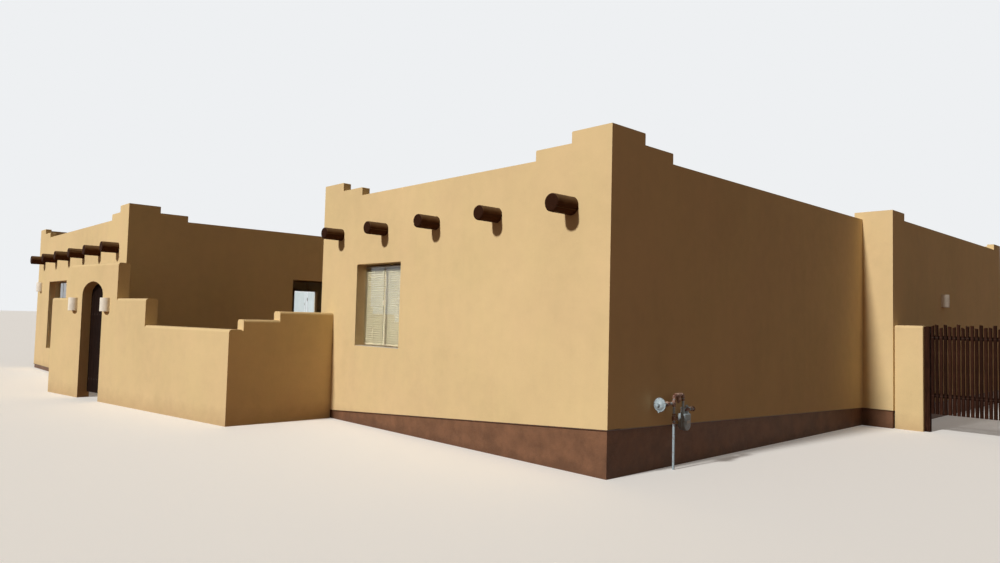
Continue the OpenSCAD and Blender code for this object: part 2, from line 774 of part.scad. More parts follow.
module gas_meter() place() at_near_side()
  translate([meter_x, -gas_off, meter_z]) color([0.66, 0.68, 0.68]) {
    difference() {
      translate([-meter_r, -60, -meter_h])
        cube([2 * meter_r, meter_d, meter_h]);
      translate([-60, -61, -70]) cube([120, 11, 50]);
    }
    translate([0, meter_d - 60, -meter_h]) rotate([90, 0, 0])
      cylinder(r = meter_r, h = meter_d);
    translate([-60, -70, -165]) cube([120, 11, 70]);
  }

module yard_stub_wall() place()
  translate([fence_x, wing_depth + stub_back, 0])
    coped(0, stub_len, stub_top);

// Fence bay of upright poles on two rails, with a post at its start
module fence_bay(last) {
  n = floor((bay_len - post_w) / (pole_d + 4));
  gap = (bay_len - post_w) / n;
  color([0.33, 0.21, 0.16]) {
    translate([0, -post_w / 2, -base_drop])
      cube([post_w, post_w, base_drop + fence_top - 60]);
    if (last) translate([bay_len, -post_w / 2, -base_drop])
      cube([post_w, post_w, base_drop + fence_top - 60]);
    for (z = [fence_foot + 350, fence_top - 350])
      translate([post_w - 1, pole_d / 2 - 12, z])
        cube([bay_len - post_w + (last ? 2 : 1), 40, 90]);
    for (i = [0:n - 1])
      translate([post_w + (i + 0.5) * gap, 0, fence_foot])
        cylinder(d = pole_d, $fn = 8,
                 h = fence_top - fence_foot - 40 + 40 * sin(i * 137));
  }
}
module yard_fence() place() translate([fence_x, fence_y, 0])
  for (i = [0:bays - 1])
    translate([i * bay_len, 0, 0]) fence_bay(i == bays - 1);

near_front_wall();
near_side_wall();
near_court_wall();
foundation_stem();
near_roof_deck();
near_floor();
near_logs();
near_window_frame();
near_window_glass();
near_window_blind();
rear_return_wall();
rear_side_wall();
rear_back_wall();
court_back_wall();
rear_roof_deck();
rear_floor();
far_front_wall();
far_court_wall();
far_side_wall();
far_roof_deck();
far_floor();
far_logs();
garden_door_frame();
garden_door_glass();
plain_window_frames();
plain_window_glass();
entry_door();
back_door();
door_frames();
garden_return_wall();
garden_low_wall();
garden_shoulder_right();
garden_shoulder_left();
garden_end_wall();
gateway_piers();
gateway_arch();
gate_pins();
gate_leaf();
gateway_lights();
house_lights();
gas_riser();
gas_regulator();
gas_meter();
yard_stub_wall();
yard_fence();
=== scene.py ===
"""Stucco adobe house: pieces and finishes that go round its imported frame."""
import json
import math
from random import Random
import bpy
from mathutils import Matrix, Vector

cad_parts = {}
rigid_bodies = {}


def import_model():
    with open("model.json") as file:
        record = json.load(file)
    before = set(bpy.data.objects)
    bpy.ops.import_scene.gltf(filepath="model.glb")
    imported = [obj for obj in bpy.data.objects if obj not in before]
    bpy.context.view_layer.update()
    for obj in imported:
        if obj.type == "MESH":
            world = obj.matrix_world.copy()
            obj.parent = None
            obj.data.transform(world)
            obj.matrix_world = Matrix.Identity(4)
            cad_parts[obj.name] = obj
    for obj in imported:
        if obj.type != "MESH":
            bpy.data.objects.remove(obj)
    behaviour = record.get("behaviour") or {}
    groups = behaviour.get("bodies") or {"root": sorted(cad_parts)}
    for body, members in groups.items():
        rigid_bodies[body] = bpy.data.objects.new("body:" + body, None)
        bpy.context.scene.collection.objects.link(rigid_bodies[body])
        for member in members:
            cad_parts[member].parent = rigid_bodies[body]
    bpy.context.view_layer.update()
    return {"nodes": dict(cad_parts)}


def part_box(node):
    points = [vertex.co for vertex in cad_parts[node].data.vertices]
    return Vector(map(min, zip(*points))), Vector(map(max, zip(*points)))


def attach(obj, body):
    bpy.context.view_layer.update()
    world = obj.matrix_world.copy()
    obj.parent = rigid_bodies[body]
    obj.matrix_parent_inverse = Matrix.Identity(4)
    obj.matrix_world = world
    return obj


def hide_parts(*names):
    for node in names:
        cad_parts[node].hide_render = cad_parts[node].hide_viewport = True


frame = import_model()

from types import SimpleNamespace as Sizes

import bmesh
import bpy
from bpy.props import (FloatProperty, FloatVectorProperty, IntProperty,
                       PointerProperty)
from mathutils import Matrix, Vector, noise

bl_info = {
    "name": "Adobe house",
    "version": (1, 0, 0),
    "blender": (4, 5, 0),
    "location": "3D View > Sidebar > Adobe",
    "description": "Builds the walls, logs, windows, gate and yard pieces "
                   "of an adobe house",
    "category": "Add Mesh",
}

NODES = frame["nodes"]
PI = math.pi
WELD = 1e-5  # points nearer than this are one
ROD_ENDS = 61.0  # sharper, in degrees, than the sides of a hexagon
RIGHT, BACK, UP = (1, 0, 0), (0, 1, 0), (0, 0, 1)
LEFT, FRONT, DOWN = (-1, 0, 0), (0, -1, 0), (0, 0, -1)


# ---- where things stand -------------------------------------------------

BASE_DROP = 0.70  # height of the house corner over the flat base


def moved(x, y, z):
    return Matrix.Translation((x, y, z))


def turned(degrees, axis="Z"):
    return Matrix.Rotation(math.radians(degrees), 4, axis)


def house_corner():
    """Near corner of the front wall, level with the stucco's edge there."""
    side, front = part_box("near_side_wall"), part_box("near_front_wall")
    return Vector((side[1].x, front[0].y, BASE_DROP))


HOUSE = house_corner()


def stand(x, y, z=0.0, turn=0.0):
    """Place in metres from the house corner, turned about the upright."""
    return moved(*(HOUSE + Vector((x, y, z)))) @ turned(turn)


GARDEN = stand(-7.54, -2.30, turn=9.0)
NEAR_SIDE = stand(0.0, 0.0, turn=90.0)


# ---- shapes -------------------------------------------------------------

def weld(bm, near=WELD):
    bmesh.ops.remove_doubles(bm, verts=bm.verts, dist=near)


def round_edges(bm, edges, width, steps):
    bmesh.ops.bevel(bm, geom=edges, offset=width, offset_type="OFFSET",
                    segments=steps, profile=0.5, affect="EDGES",
                    clamp_overlap=True, material=-1)


def soften(bm, width, steps=2, edges=None, over=40.0):
    """Rounds the outward edges that turn by more than the given angle."""
    picked = [e for e in (bm.edges if edges is None else edges)
              if e.is_manifold and e.is_convex
              and e.calc_face_angle(0.0) > math.radians(over)]
    if picked:
        round_edges(bm, picked, width, steps)
    return bm


def pull(bm, grown, by):
    """Moves points just grown, and turns all faces outward."""
    bmesh.ops.translate(bm, vec=by, verts=[
        g for g in grown["geom"] if isinstance(g, bmesh.types.BMVert)])
    bmesh.ops.recalc_face_normals(bm, faces=bm.faces)


def towards(direction, at=(0, 0, 0)):
    """Turns the upright to a direction and moves the foot to a point."""
    turn = Vector(direction).to_track_quat("Z", "Y").to_matrix().to_4x4()
    return moved(*at) @ turn


def block(size, at=(0, 0, 0), edge=0.0, steps=2):
    """Box with its lowest corner at a point, its edges rounded."""
    bm = bmesh.new()
    middle = Vector(at) + Vector(size) / 2
    bmesh.ops.create_cube(
        bm, size=1.0, matrix=moved(*middle) @ Matrix.Diagonal((*size, 1.0)))
    return soften(bm, edge, steps) if edge else bm


def drum(radius, length, sides, taper=1.0, place=Matrix.Identity(4)):
    """Plain round bar about the middle of its place."""
    bm = bmesh.new()
    bmesh.ops.create_cone(bm, cap_ends=True, cap_tris=False, segments=sides,
                          radius1=radius, radius2=radius * taper,
                          depth=length, matrix=place)
    return bm


def divide_length(bm, length, cuts):
    """Divides the edges that run the whole length of a bar along z."""
    bmesh.ops.subdivide_edges(bm, cuts=cuts, use_grid_fill=False, edges=[
        e for e in bm.edges
        if abs(e.verts[0].co.z - e.verts[1].co.z) > length / 2])


def rod(radius, length, direction=UP, at=(0, 0, 0), sides=24, edge=0.0):
    """Round bar from a point, its two end edges rounded."""
    bm = drum(radius, length, sides,
              place=towards(direction, at) @ moved(0, 0, length / 2))
    return soften(bm, edge, over=ROD_ENDS) if edge else bm


def lathe(outline, direction=UP, at=(0, 0, 0), sides=32, sweep=2 * PI):
    """Turned shape: an outline of (radius, height) spun round the upright."""
    bm = bmesh.new()
    verts = [bm.verts.new((r, 0.0, z)) for r, z in outline]
    edges = [bm.edges.new(pair) for pair in zip(verts, verts[1:])]
    whole = sweep == 2 * PI
    bmesh.ops.spin(bm, geom=verts + edges, cent=(0, 0, 0), axis=UP,
                   angle=sweep, steps=sides, use_merge=whole)
    weld(bm)
    if not whole:
        rims = [e for e in bm.edges if e.is_boundary]
        bmesh.ops.holes_fill(bm, edges=rims, sides=0)
    bmesh.ops.recalc_face_normals(bm, faces=bm.faces)
    bmesh.ops.transform(bm, matrix=towards(direction, at), verts=bm.verts)
    return bm


def nail(top, radius, high, direction, at):
    """Low round head of a nail or a bolt."""
    return lathe([(0, high), (top, high - 0.001), (radius, 0), (0, 0)],
                 direction, at, 10)


def hex_nut(radius, length, direction, at):
    """Six-sided union nut with eased corners."""
    return soften(rod(radius, length, direction, at, 6), 0.002, 1, over=45)


def slab(outline, front, depth, edge, steps=2):
    """Upright slab: an outline of (x, z) given depth, its edges rounded."""
    bm = bmesh.new()
    sheet = bm.faces.new([bm.verts.new((x, front, z)) for x, z in outline])
    pull(bm, bmesh.ops.extrude_face_region(bm, geom=[sheet]), (0, depth, 0))
    return soften(bm, edge, steps)


def surround(width, height, bar, depth, at=(0, 0, 0), edge=0.003):
    """Upright rectangular frame with bars of one width, open in the middle."""
    bm = bmesh.new()
    x, y, z = at
    bmesh.ops.create_grid(
        bm, x_segments=1, y_segments=1, size=0.5,
        matrix=moved(x + width / 2, y, z + height / 2) @ turned(90, "X")
        @ Matrix.Diagonal((width, height, 1.0, 1.0)))
    middle = bm.faces[:]
    bmesh.ops.inset_region(bm, faces=middle, thickness=bar,
                           use_even_offset=True)
    bmesh.ops.delete(bm, geom=middle, context="FACES")
    pull(bm, bmesh.ops.extrude_face_region(bm, geom=bm.faces[:]),
         (0, depth, 0))
    return soften(bm, edge)


def pipe(points, radius, bend):
    """Round pipe through points, with an even bend at each corner."""
    curve = bpy.data.curves.new("pipe_run", "CURVE")
    curve.dimensions = "3D"
    curve.bevel_depth, curve.bevel_resolution = radius, 5
    curve.resolution_u, curve.use_fill_caps = 6, True
    points = [Vector(p) for p in points]
    run = [(points[0],) * 3]
    for before, here, after in zip(points, points[1:], points[2:]):
        a = (before - here).normalized() * bend
        b = (after - here).normalized() * bend
        run += [(here + a, here + a, here + a * 0.45),
                (here + b, here + b * 0.45, here + b)]
    run.append((points[-1],) * 3)
    spline = curve.splines.new("BEZIER")
    spline.bezier_points.add(len(run) - 1)
    for point, (co, left, right) in zip(spline.bezier_points, run):
        point.co, point.handle_left, point.handle_right = co, left, right
    holder = bpy.data.objects.new("pipe_run", curve)
    mesh = bpy.data.meshes.new_from_object(holder)
    bm = bmesh.new()
    bm.from_mesh(mesh)
    weld(bm)
    bpy.data.batch_remove([holder, curve, mesh])
    return bm


def gather(parts, place=Matrix.Identity(4)):
    """Joins (shape, place) pairs or plain shapes into one, and frees them."""
    whole = bmesh.new()
    for part in parts:
        shape, spot = part if isinstance(part, tuple) else (part, None)
        mesh = bpy.data.meshes.new("part")
        shape.to_mesh(mesh)
        mesh.transform(place @ spot if spot else place)
        whole.from_mesh(mesh)
        bpy.data.meshes.remove(mesh)
        shape.free()
    return whole


def node_shape(node):
    """Shape of a CAD node, which itself stays as it is."""
    bm = bmesh.new()
    bm.from_mesh(NODES[node].data)
    weld(bm)
    return bm


def islands(node):
    """(lowest, highest) corner of each separate solid of a CAD node."""
    bm = node_shape(node)
    left, found = set(bm.verts), []
    while left:
        group, ahead = [], [left.pop()]
        while ahead:
            vert = ahead.pop()
            group.append(vert.co.copy())
            for edge in vert.link_edges:
                other = edge.other_vert(vert)
                if other in left:
                    left.remove(other)
                    ahead.append(other)
        found.append(tuple(Vector(f(c[i] for c in group) for i in range(3))
                           for f in (min, max)))
    bm.free()
    return found


def as_object(name, bm):
    mesh = bpy.data.meshes.new(name)
    bm.to_mesh(mesh)
    bm.free()
    thing = bpy.data.objects.new(name, mesh)
    bpy.context.scene.collection.objects.link(thing)
    return thing


def finish_piece(name, bm, finish, slot, body="house", replaces=(),
                 sharp=35.0, even=True):
    """Turns a shape into a piece that rides on a body and has a finish."""
    for face in bm.faces:
        face.smooth = True
    for edge in bm.edges:
        edge.smooth = (edge.is_manifold
                       and edge.calc_face_angle(0.0) < math.radians(sharp))
    piece = as_object(name, bm)
    piece.data.materials.append(material(finish))
    if even:
        level = piece.modifiers.new("even_shading", "WEIGHTED_NORMAL")
        level.keep_sharp = True
    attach(piece, body)
    if replaces:
        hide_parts(*replaces)
    return piece


def dress(finish, *nodes):
    """Gives CAD nodes, kept as they are, their finish."""
    for node in nodes:
        mesh = NODES[node].data
        mesh.materials.clear()
        mesh.materials.append(material(finish))


# ---- finishes -----------------------------------------------------------

def tone(red, green, blue):
    """Colour as it is seen on a screen, 0 to 255, made linear."""
    def straight(v):
        v /= 255.0
        return v / 12.92 if v <= 0.04045 else ((v + 0.055) / 1.055) ** 2.4
    return (straight(red), straight(green), straight(blue), 1.0)


def shade(colour, by):
    """The same colour, lighter or darker."""
    return (*(min(1.0, c * by) for c in tuple(colour)[:3]), 1.0)


def add_node(tree, kind, inputs=(), **settings):
    """Shader node with its settings made, its inputs set or linked."""
    node = tree.nodes.new("ShaderNode" + kind)
    for name, value in settings.items():
        setattr(node, name, value)
    for socket, value in dict(inputs).items():
        if isinstance(value, bpy.types.NodeSocket):
            tree.links.new(value, node.inputs[socket])
        else:
            node.inputs[socket].default_value = value
    return node


class Finish:
    """Node material under way: a shader, and steps that feed it."""

    def __init__(self, name, place="Object", **values):
        self.material = bpy.data.materials.new(name)
        self.material.use_nodes = True
        self.tree = self.material.node_tree
        self.shader = self.tree.nodes["Principled BSDF"]
        for socket, value in values.items():
            self.shader.inputs[socket.replace("_", " ")].default_value = value
        self.place = (self.out("Object", "TexCoord") if place == "Object"
                      else self.attribute(place, "Vector"))

    def out(self, output, kind, inputs=(), **settings):
        """One output of a new node."""
        return add_node(self.tree, kind, inputs, **settings).outputs[output]

    def attribute(self, name, output="Fac"):
        return self.out(output, "Attribute", attribute_name=name)

    def stretched(self, scale):
        """The place on the piece, stretched where a scale is given."""
        return self.place if scale is None else self.out(
            "Vector", "Mapping", {"Vector": self.place, "Scale": scale})

    def noise(self, scale, detail, rough, stretch=None, twist=0.0):
        return self.out("Fac", "TexNoise", {
            "Vector": self.stretched(stretch), "Scale": scale,
            "Detail": detail, "Roughness": rough, "Distortion": twist})

    def cells(self, scale, output="Distance", stretch=None):
        return self.out(output, "TexVoronoi", {
            "Vector": self.stretched(stretch), "Scale": scale})

    def ramp(self, value, *stops):
        """Ramp of (place, colour or brightness) stops."""
        node = add_node(self.tree, "ValToRGB", {"Fac": value})
        band = node.color_ramp
        while len(band.elements) < len(stops):
            band.elements.new(0.5)
        for element, (where, colour) in zip(band.elements, stops):
            element.position = where
            element.color = (colour if isinstance(colour, tuple)
                             else (colour, colour, colour, 1.0))
        return node.outputs["Color"]

    def tones(self, value, colour, *stops):
        """Ramp of (place, how light) stops of one colour."""
        return self.ramp(value, *((where, shade(colour, by))
                                  for where, by in stops))

    def mix(self, amount, first, second, blend="MIX"):
        """Two colours mixed: 6, 7 and 2 are the node's colour sockets."""
        return self.out(2, "Mix", {0: amount, 6: first, 7: second},
                        data_type="RGBA", blend_type=blend)

    def times(self, base, value, *stops):
        """Base colour multiplied by a ramp."""
        return self.mix(1.0, base, self.ramp(value, *stops), "MULTIPLY")

    def sum(self, *terms):
        """Adds (value, weight) pairs."""
        total = 0.0
        for value, weight in terms:
            total = self.out(0, "Math", {0: value, 1: weight, 2: total},
                             operation="MULTIPLY_ADD")
        return total

    def between(self, value, low, high, to_low=0.0, to_high=1.0):
        return self.out("Result", "MapRange", {
            "Value": value, "From Min": low, "From Max": high,
            "To Min": to_low, "To Max": to_high}, clamp=True)

    def axis(self, name, vector=None):
        return self.out(name, "SeparateXYZ", {"Vector": vector or self.place})

    def facing_up(self):
        return self.axis("Z", self.out("True Normal", "NewGeometry"))

    def feed(self, colour, rough, bump, depth, strength):
        """Takes a colour, (value, low, high) roughness and pairs to sum."""
        link, inputs = self.tree.links.new, self.shader.inputs
        if colour:
            link(colour, inputs["Base Color"])
        if rough:
            value, low, high = rough
            link(self.between(value, 0.3, 0.7, low, high),
                 inputs["Roughness"])
        link(self.out("Normal", "Bump", {
            "Height": self.sum(*bump), "Distance": depth,
            "Strength": strength}), inputs["Normal"])
        return self.material


def stucco_finish(colour):
    """Sand-floated stucco: mottled, with trowel waves and a dusty foot."""
    f = Finish("sand_stucco", Specular_IOR_Level=0.25)
    patch, grain = f.noise(4.0, 5.0, 0.6), f.noise(260.0, 2.0, 0.6)
    mood = f.sum((f.noise(0.55, 3.0, 0.5), 0.50), (patch, 0.32),
                 (f.noise(3.0, 3.0, 0.6, (1.0, 1.0, 0.12)), 0.18))
    base = f.tones(mood, colour, (0.36, 0.93), (0.5, 1.0), (0.64, 1.05))
    base = f.times(base, f.noise(0.9, 3.0, 0.55, (1.0, 1.0, 0.6)),
                   (0.36, (1.0, 0.988, 0.985, 1.0)),
                   (0.64, (0.99, 1.0, 0.97, 1.0)))
    base = f.times(base, grain, (0.30, 0.90), (0.52, 1.0), (0.72, 1.05))
    height = f.sum((f.axis("Z"), 1.0), (patch, 0.25))
    base = f.mix(f.between(height, 0.50, 0.15, 0.0, 0.28), base,
                 tone(158, 116, 82))
    lumps = ((grain, 0.25), (f.noise(38.0, 4.0, 0.6), 0.35),
             (f.noise(3.2, 2.0, 0.5), 2.2))
    return f.feed(base, (patch, 0.86, 0.97), lumps, 0.004, 0.8)


def log_finish(colour):
    """Peeled log under dark stain: long fibres, drying cracks, end rings."""
    f = Finish("stained_log", "grain", Specular_IOR_Level=0.05)
    fibre = f.noise(95.0, 5.0, 0.65, (1.0, 0.05, 1.0))
    band = f.noise(14.0, 3.0, 0.5, (1.0, 0.16, 1.0), 0.6)
    knots = f.cells(3.4, stretch=(1.0, 0.6, 1.0))
    reach = f.out("Value", "VectorMath", {
        0: f.stretched((1.0, 0.0, 1.0))}, operation="LENGTH")
    wander = f.sum((reach, 1.0), (f.noise(9.0, 2.0, 0.5), 0.018))
    ring = f.out(0, "Math", {0: f.sum((wander, 520.0))}, operation="SINE")
    side = f.tones(f.sum((fibre, 0.6), (band, 0.4)), colour,
                   (0.30, 0.45), (0.48, 1.0), (0.68, 1.75))
    side = f.mix(f.between(knots, 0.10, 0.03), side, shade(colour, 0.35))
    end = f.tones(f.sum((ring, 0.22), (fibre, 0.5), (band, 0.3)), colour,
                  (0.20, 0.32), (0.62, 0.95))
    # Tops made lighter by the facing-up mask: part sun-bleached wood, part
    # painted highlight from the light above.
    bare = f.sum((f.between(f.facing_up(), -0.35, 0.6), 0.8),
                 (f.noise(5.0, 4.0, 0.6), 0.7))
    side = f.mix(f.between(bare, 0.55, 1.15, 0.0, 0.6), side,
                 tone(126, 102, 74))
    return f.feed(f.mix(f.attribute("cut"), side, end), (fibre, 0.62, 0.85),
                  ((fibre, 1.0), (band, 0.8), (knots, -0.3)), 0.006, 0.8)


def board_finish(name, colour, grain=60.0, rough=(0.5, 0.75), gloss=0.35):
    """Sawn wood with an upright grain and a worn stain."""
    f = Finish(name, Specular_IOR_Level=gloss)
    fibre = f.noise(grain, 5.0, 0.65, (1.0, 1.0, 0.05))
    band = f.noise(grain / 6, 3.0, 0.5, (1.0, 1.0, 0.3), 1.2)
    base = f.tones(f.sum((fibre, 0.55), (band, 0.45)), colour,
                   (0.32, 0.5), (0.50, 1.0), (0.70, 1.7))
    return f.feed(base, (fibre, *rough), ((fibre, 1.0), (band, 0.5)),
                  0.003, 0.6)


def pole_finish(colour):
    """Thin peeled poles, each its own tone, with loose bark strips."""
    f = Finish("fence_pole_bark", "grain", Specular_IOR_Level=0.05)
    fibre = f.noise(120.0, 5.0, 0.7, (1.0, 1.0, 0.05))
    strip = f.noise(26.0, 3.0, 0.6, (1.0, 1.0, 0.10), 0.8)
    base = f.ramp(f.sum((fibre, 0.45), (strip, 0.55)),
                  (0.34, shade(colour, 0.35)), (0.50, tuple(colour)),
                  (0.60, shade(colour, 1.6)), (0.72, tone(128, 98, 76)))
    base = f.times(base, f.attribute("tint"), (0.0, 0.62), (1.0, 1.25))
    return f.feed(base, (fibre, 0.75, 0.95), ((fibre, 1.0), (strip, 1.4)),
                  0.006, 0.9)


def painted_metal(name, colour, rust, rough=(0.35, 0.6), metal=0.0,
                  rust_tone=(104, 58, 38)):
    """Painted or bare metal with specks, dust and patches of rust."""
    f = Finish(name, Metallic=metal)
    patch, speck = f.noise(22.0, 5.0, 0.65), f.noise(190.0, 2.0, 0.6)
    base = f.tones(patch, colour, (0.30, 0.78), (0.55, 1.0), (0.75, 1.10))
    worn = f.between(f.sum((patch, 0.6), (f.noise(60.0, 4.0, 0.7), 0.4)),
                     0.58 - 0.2 * rust, 0.66 - 0.2 * rust)
    base = f.times(f.mix(worn, base, tone(*rust_tone)), speck,
                   (0.3, 0.92), (0.7, 1.04))
    return f.feed(base, (patch, *rough), ((speck, 0.3), (patch, 0.4)),
                  0.0012, 0.6)


def moulded_white(name, colour, rough=(0.32, 0.48)):
    """Moulded white frame with faint dusty patches."""
    f = Finish(name, Specular_IOR_Level=0.45)
    dust = f.noise(7.0, 5.0, 0.65)
    base = f.tones(dust, colour, (0.30, 0.86), (0.52, 1.0), (0.80, 1.04))
    return f.feed(base, (dust, *rough), ((f.noise(160.0, 2.0, 0.5), 1.0),),
                  0.0004, 0.4)


def plaster_finish(colour):
    """Unglazed plaster of the wall lights."""
    f = Finish("light_plaster", Specular_IOR_Level=0.3)
    cloud, grain = f.noise(9.0, 4.0, 0.6), f.noise(210.0, 2.0, 0.6)
    base = f.tones(f.sum((cloud, 0.7), (grain, 0.3)), colour,
                   (0.34, 0.84), (0.54, 1.0), (0.74, 1.05))
    return f.feed(base, (cloud, 0.62, 0.85), ((grain, 0.5), (cloud, 1.0)),
                  0.002, 0.5)


def glass_finish(colour=(0.90, 0.94, 0.93, 1.0)):
    """Clear window glass that lets the light through to what is behind."""
    f = Finish("window_glass", Transmission_Weight=1.0, IOR=1.5,
               Roughness=0.02, Base_Color=colour)
    f.feed(None, None, ((f.noise(1.6, 2.0, 0.5), 1.0),), 0.0006, 0.3)
    both = f.out(0, "MixShader", {
        0: f.out("Is Shadow Ray", "LightPath"), 1: f.shader.outputs[0],
        2: f.out(0, "BsdfTransparent", {"Color": colour})})
    f.tree.links.new(both, f.tree.nodes["Material Output"].inputs["Surface"])
    return f.material


def footing_finish(colour):
    """Rough parged footing, stained with red earth."""
    f = Finish("parged_footing", Specular_IOR_Level=0.2)
    patch, grit = f.noise(2.6, 6.0, 0.65), f.noise(90.0, 4.0, 0.7)
    base = f.tones(f.sum((patch, 0.7), (grit, 0.3)), colour,
                   (0.32, 0.6), (0.50, 1.0), (0.70, 1.45))
    damp = f.between(f.sum((f.axis("Z"), 1.0), (patch, 0.35)), 0.34, 0.16)
    return f.feed(f.mix(damp, base, shade(colour, 0.72)), None,
                  ((patch, 1.6), (grit, 1.0)), 0.010, 0.8)


def roof_finish(colour):
    """Gravel on top of the roof deck, boards on its underside."""
    f = Finish("roof_gravel", Roughness=0.95, Specular_IOR_Level=0.15)
    edge = f.cells(48.0)
    tint = f.out("Red", "SeparateColor", {"Color": f.cells(48.0, "Color")})
    gravel = f.tones(f.sum((tint, 0.75), (f.noise(1.3, 4.0, 0.6), 0.25)),
                     colour, (0.15, 0.62), (0.5, 1.0), (0.9, 1.5))
    # Painted shade: the gaps between the gravel stones are darkened.
    gravel = f.mix(f.between(edge, 0.45, 0.75), gravel, shade(colour, 0.4))
    under = f.ramp(f.noise(40.0, 4.0, 0.6, (1.0, 0.05, 1.0)),
                   (0.3, tone(128, 92, 60)), (0.7, tone(184, 142, 98)))
    base = f.mix(f.between(f.facing_up(), -0.5, 0.5), under, gravel)
    return f.feed(base, None, ((edge, -1.0), (tint, 0.4)), 0.012, 0.8)


def floor_finish(colour):
    """Hand-made clay floor tiles with pale joints."""
    f = Finish("clay_tile_floor", Specular_IOR_Level=0.4)
    tiles = add_node(f.tree, "TexBrick", {
        "Vector": f.place, "Color1": shade(colour, 0.85),
        "Color2": shade(colour, 1.2), "Mortar": tone(176, 160, 138),
        "Scale": 1.0, "Mortar Size": 0.006, "Mortar Smooth": 0.2,
        "Brick Width": 0.3, "Row Height": 0.3}, offset=0.0).outputs
    cloud = f.noise(6.0, 4.0, 0.6)
    base = f.times(tiles["Color"], cloud, (0.3, 0.85), (0.7, 1.1))
    return f.feed(base, (cloud, 0.35, 0.6),
                  ((tiles["Fac"], -1.0), (cloud, 0.4)), 0.003, 0.7)


# Each finish by its key, from the settings
FINISHES = {
    "stucco": lambda s: stucco_finish(s.walls.colour),
    "footing": lambda s: footing_finish(s.walls.footing),
    "strip": lambda s: painted_metal("drip_strip", tone(74, 54, 42), 0.5),
    "gravel": lambda s: roof_finish(s.roof.gravel),
    "tiles": lambda s: floor_finish(s.openings.floor),
    "log": lambda s: log_finish(s.roof.colour),
    "white": lambda s: moulded_white("white_frame", s.openings.frame),
    "slats": lambda s: moulded_white("blind_slats", s.openings.blind,
                                     (0.4, 0.55)),
    "glass": lambda s: glass_finish(),
    "door": lambda s: board_finish("door_wood", s.openings.door),
    # The gate's colour is a dark stain pushed darker still: part real stain,
    # part painted shade.
    "gate": lambda s: board_finish("gate_wood", s.gate.colour, 70.0,
                                   (0.6, 0.85), 0.05),
    "iron": lambda s: painted_metal("black_iron", s.gate.iron, 0.35,
                                    (0.4, 0.65)),
    "plaster": lambda s: plaster_finish(s.gate.light),
    "gas": lambda s: painted_metal("gas_grey_paint", s.yard.paint, 0.15),
    "rusty": lambda s: painted_metal(
        "rusty_fittings", tone(184, 152, 134), 0.62, (0.5, 0.8),
        rust_tone=(98, 58, 42)),
    "dial": lambda s: moulded_white("dial_face", tone(196, 196, 188)),
    "pole": lambda s: pole_finish(s.yard.pole),
    "wire": lambda s: painted_metal("tie_wire", tone(120, 112, 104), 0.4,
                                    metal=0.6),
}
MADE = {}


def material(key):
    """One material for each finish, made when it is first asked for."""
    if key not in MADE:
        MADE[key] = FINISHES[key](bpy.context.scene.adobe)
    return MADE[key]


# ---- settings that a user would change ----------------------------------

def colour_setting(name, text, *rgb):
    return FloatVectorProperty(name=name, description=text, size=4,
                               subtype="COLOR", min=0.0, max=1.0,
                               default=tone(*rgb))


def length_setting(name, text, default):
    return FloatProperty(name=name, description=text, default=default,
                         min=0.0, subtype="DISTANCE", unit="LENGTH")


def light_setting(name, text, default):
    return FloatProperty(name=name, description=text, default=default,
                         min=0.0)


class WallSettings(bpy.types.PropertyGroup):
    colour: colour_setting("Stucco", "Colour of the stucco", 226, 199, 150)
    footing: colour_setting("Footing", "Colour of the footing", 122, 86, 62)
    corner: length_setting("Corner", "Radius of the walls' corners", 0.019)
    reveal: length_setting("Reveal", "Radius round the openings", 0.012)
    garden: length_setting("Garden wall", "Radius of its corners", 0.022)


class RoofSettings(bpy.types.PropertyGroup):
    colour: colour_setting("Logs", "Stain of the roof logs", 62, 34, 19)
    gravel: colour_setting("Gravel", "Colour of the roof's gravel",
                           168, 152, 128)
    sides: IntProperty(name="Sides", description="Sides of a roof log",
                       default=56, min=24, max=96)


class OpeningSettings(bpy.types.PropertyGroup):
    frame: colour_setting("Frames", "Colour of the frames", 214, 200, 178)
    blind: colour_setting("Blind", "Colour of the blind", 156, 141, 116)
    door: colour_setting("Doors", "Stain of the house doors", 104, 66, 40)
    floor: colour_setting("Floor", "Colour of the floor tiles", 158, 96, 66)


class GateSettings(bpy.types.PropertyGroup):
    # Part real dark stain, part painted shade standing for the dark seen
    # through the arch.
    colour: colour_setting("Gate", "Stain of the gate", 26, 14, 9)
    iron: colour_setting("Iron", "Colour of the ironwork", 38, 34, 32)
    light: colour_setting("Wall lights", "Colour of the lights' plaster",
                          250, 241, 224)


class YardSettings(bpy.types.PropertyGroup):
    pole: colour_setting("Fence", "Colour of the fence poles", 52, 30, 21)
    paint: colour_setting("Gas set", "Paint of the gas meter set",
                          170, 188, 196)


class StageSettings(bpy.types.PropertyGroup):
    floor: colour_setting("Floor", "Colour of the stage floor", 246, 244, 240)
    key: light_setting("Key light", "Strength of the key", 2.95)
    fill: light_setting("Fill light", "Strength of the fill", 0.16)
    height: FloatProperty(name="Key height", subtype="ANGLE", unit="ROTATION",
                          description="Height of the key over the floor",
                          default=math.radians(29.7))


class AdobeSettings(bpy.types.PropertyGroup):
    walls: PointerProperty(type=WallSettings)
    roof: PointerProperty(type=RoofSettings)
    openings: PointerProperty(type=OpeningSettings)
    gate: PointerProperty(type=GateSettings)
    yard: PointerProperty(type=YardSettings)
    stage: PointerProperty(type=StageSettings)


# ---- walls --------------------------------------------------------------

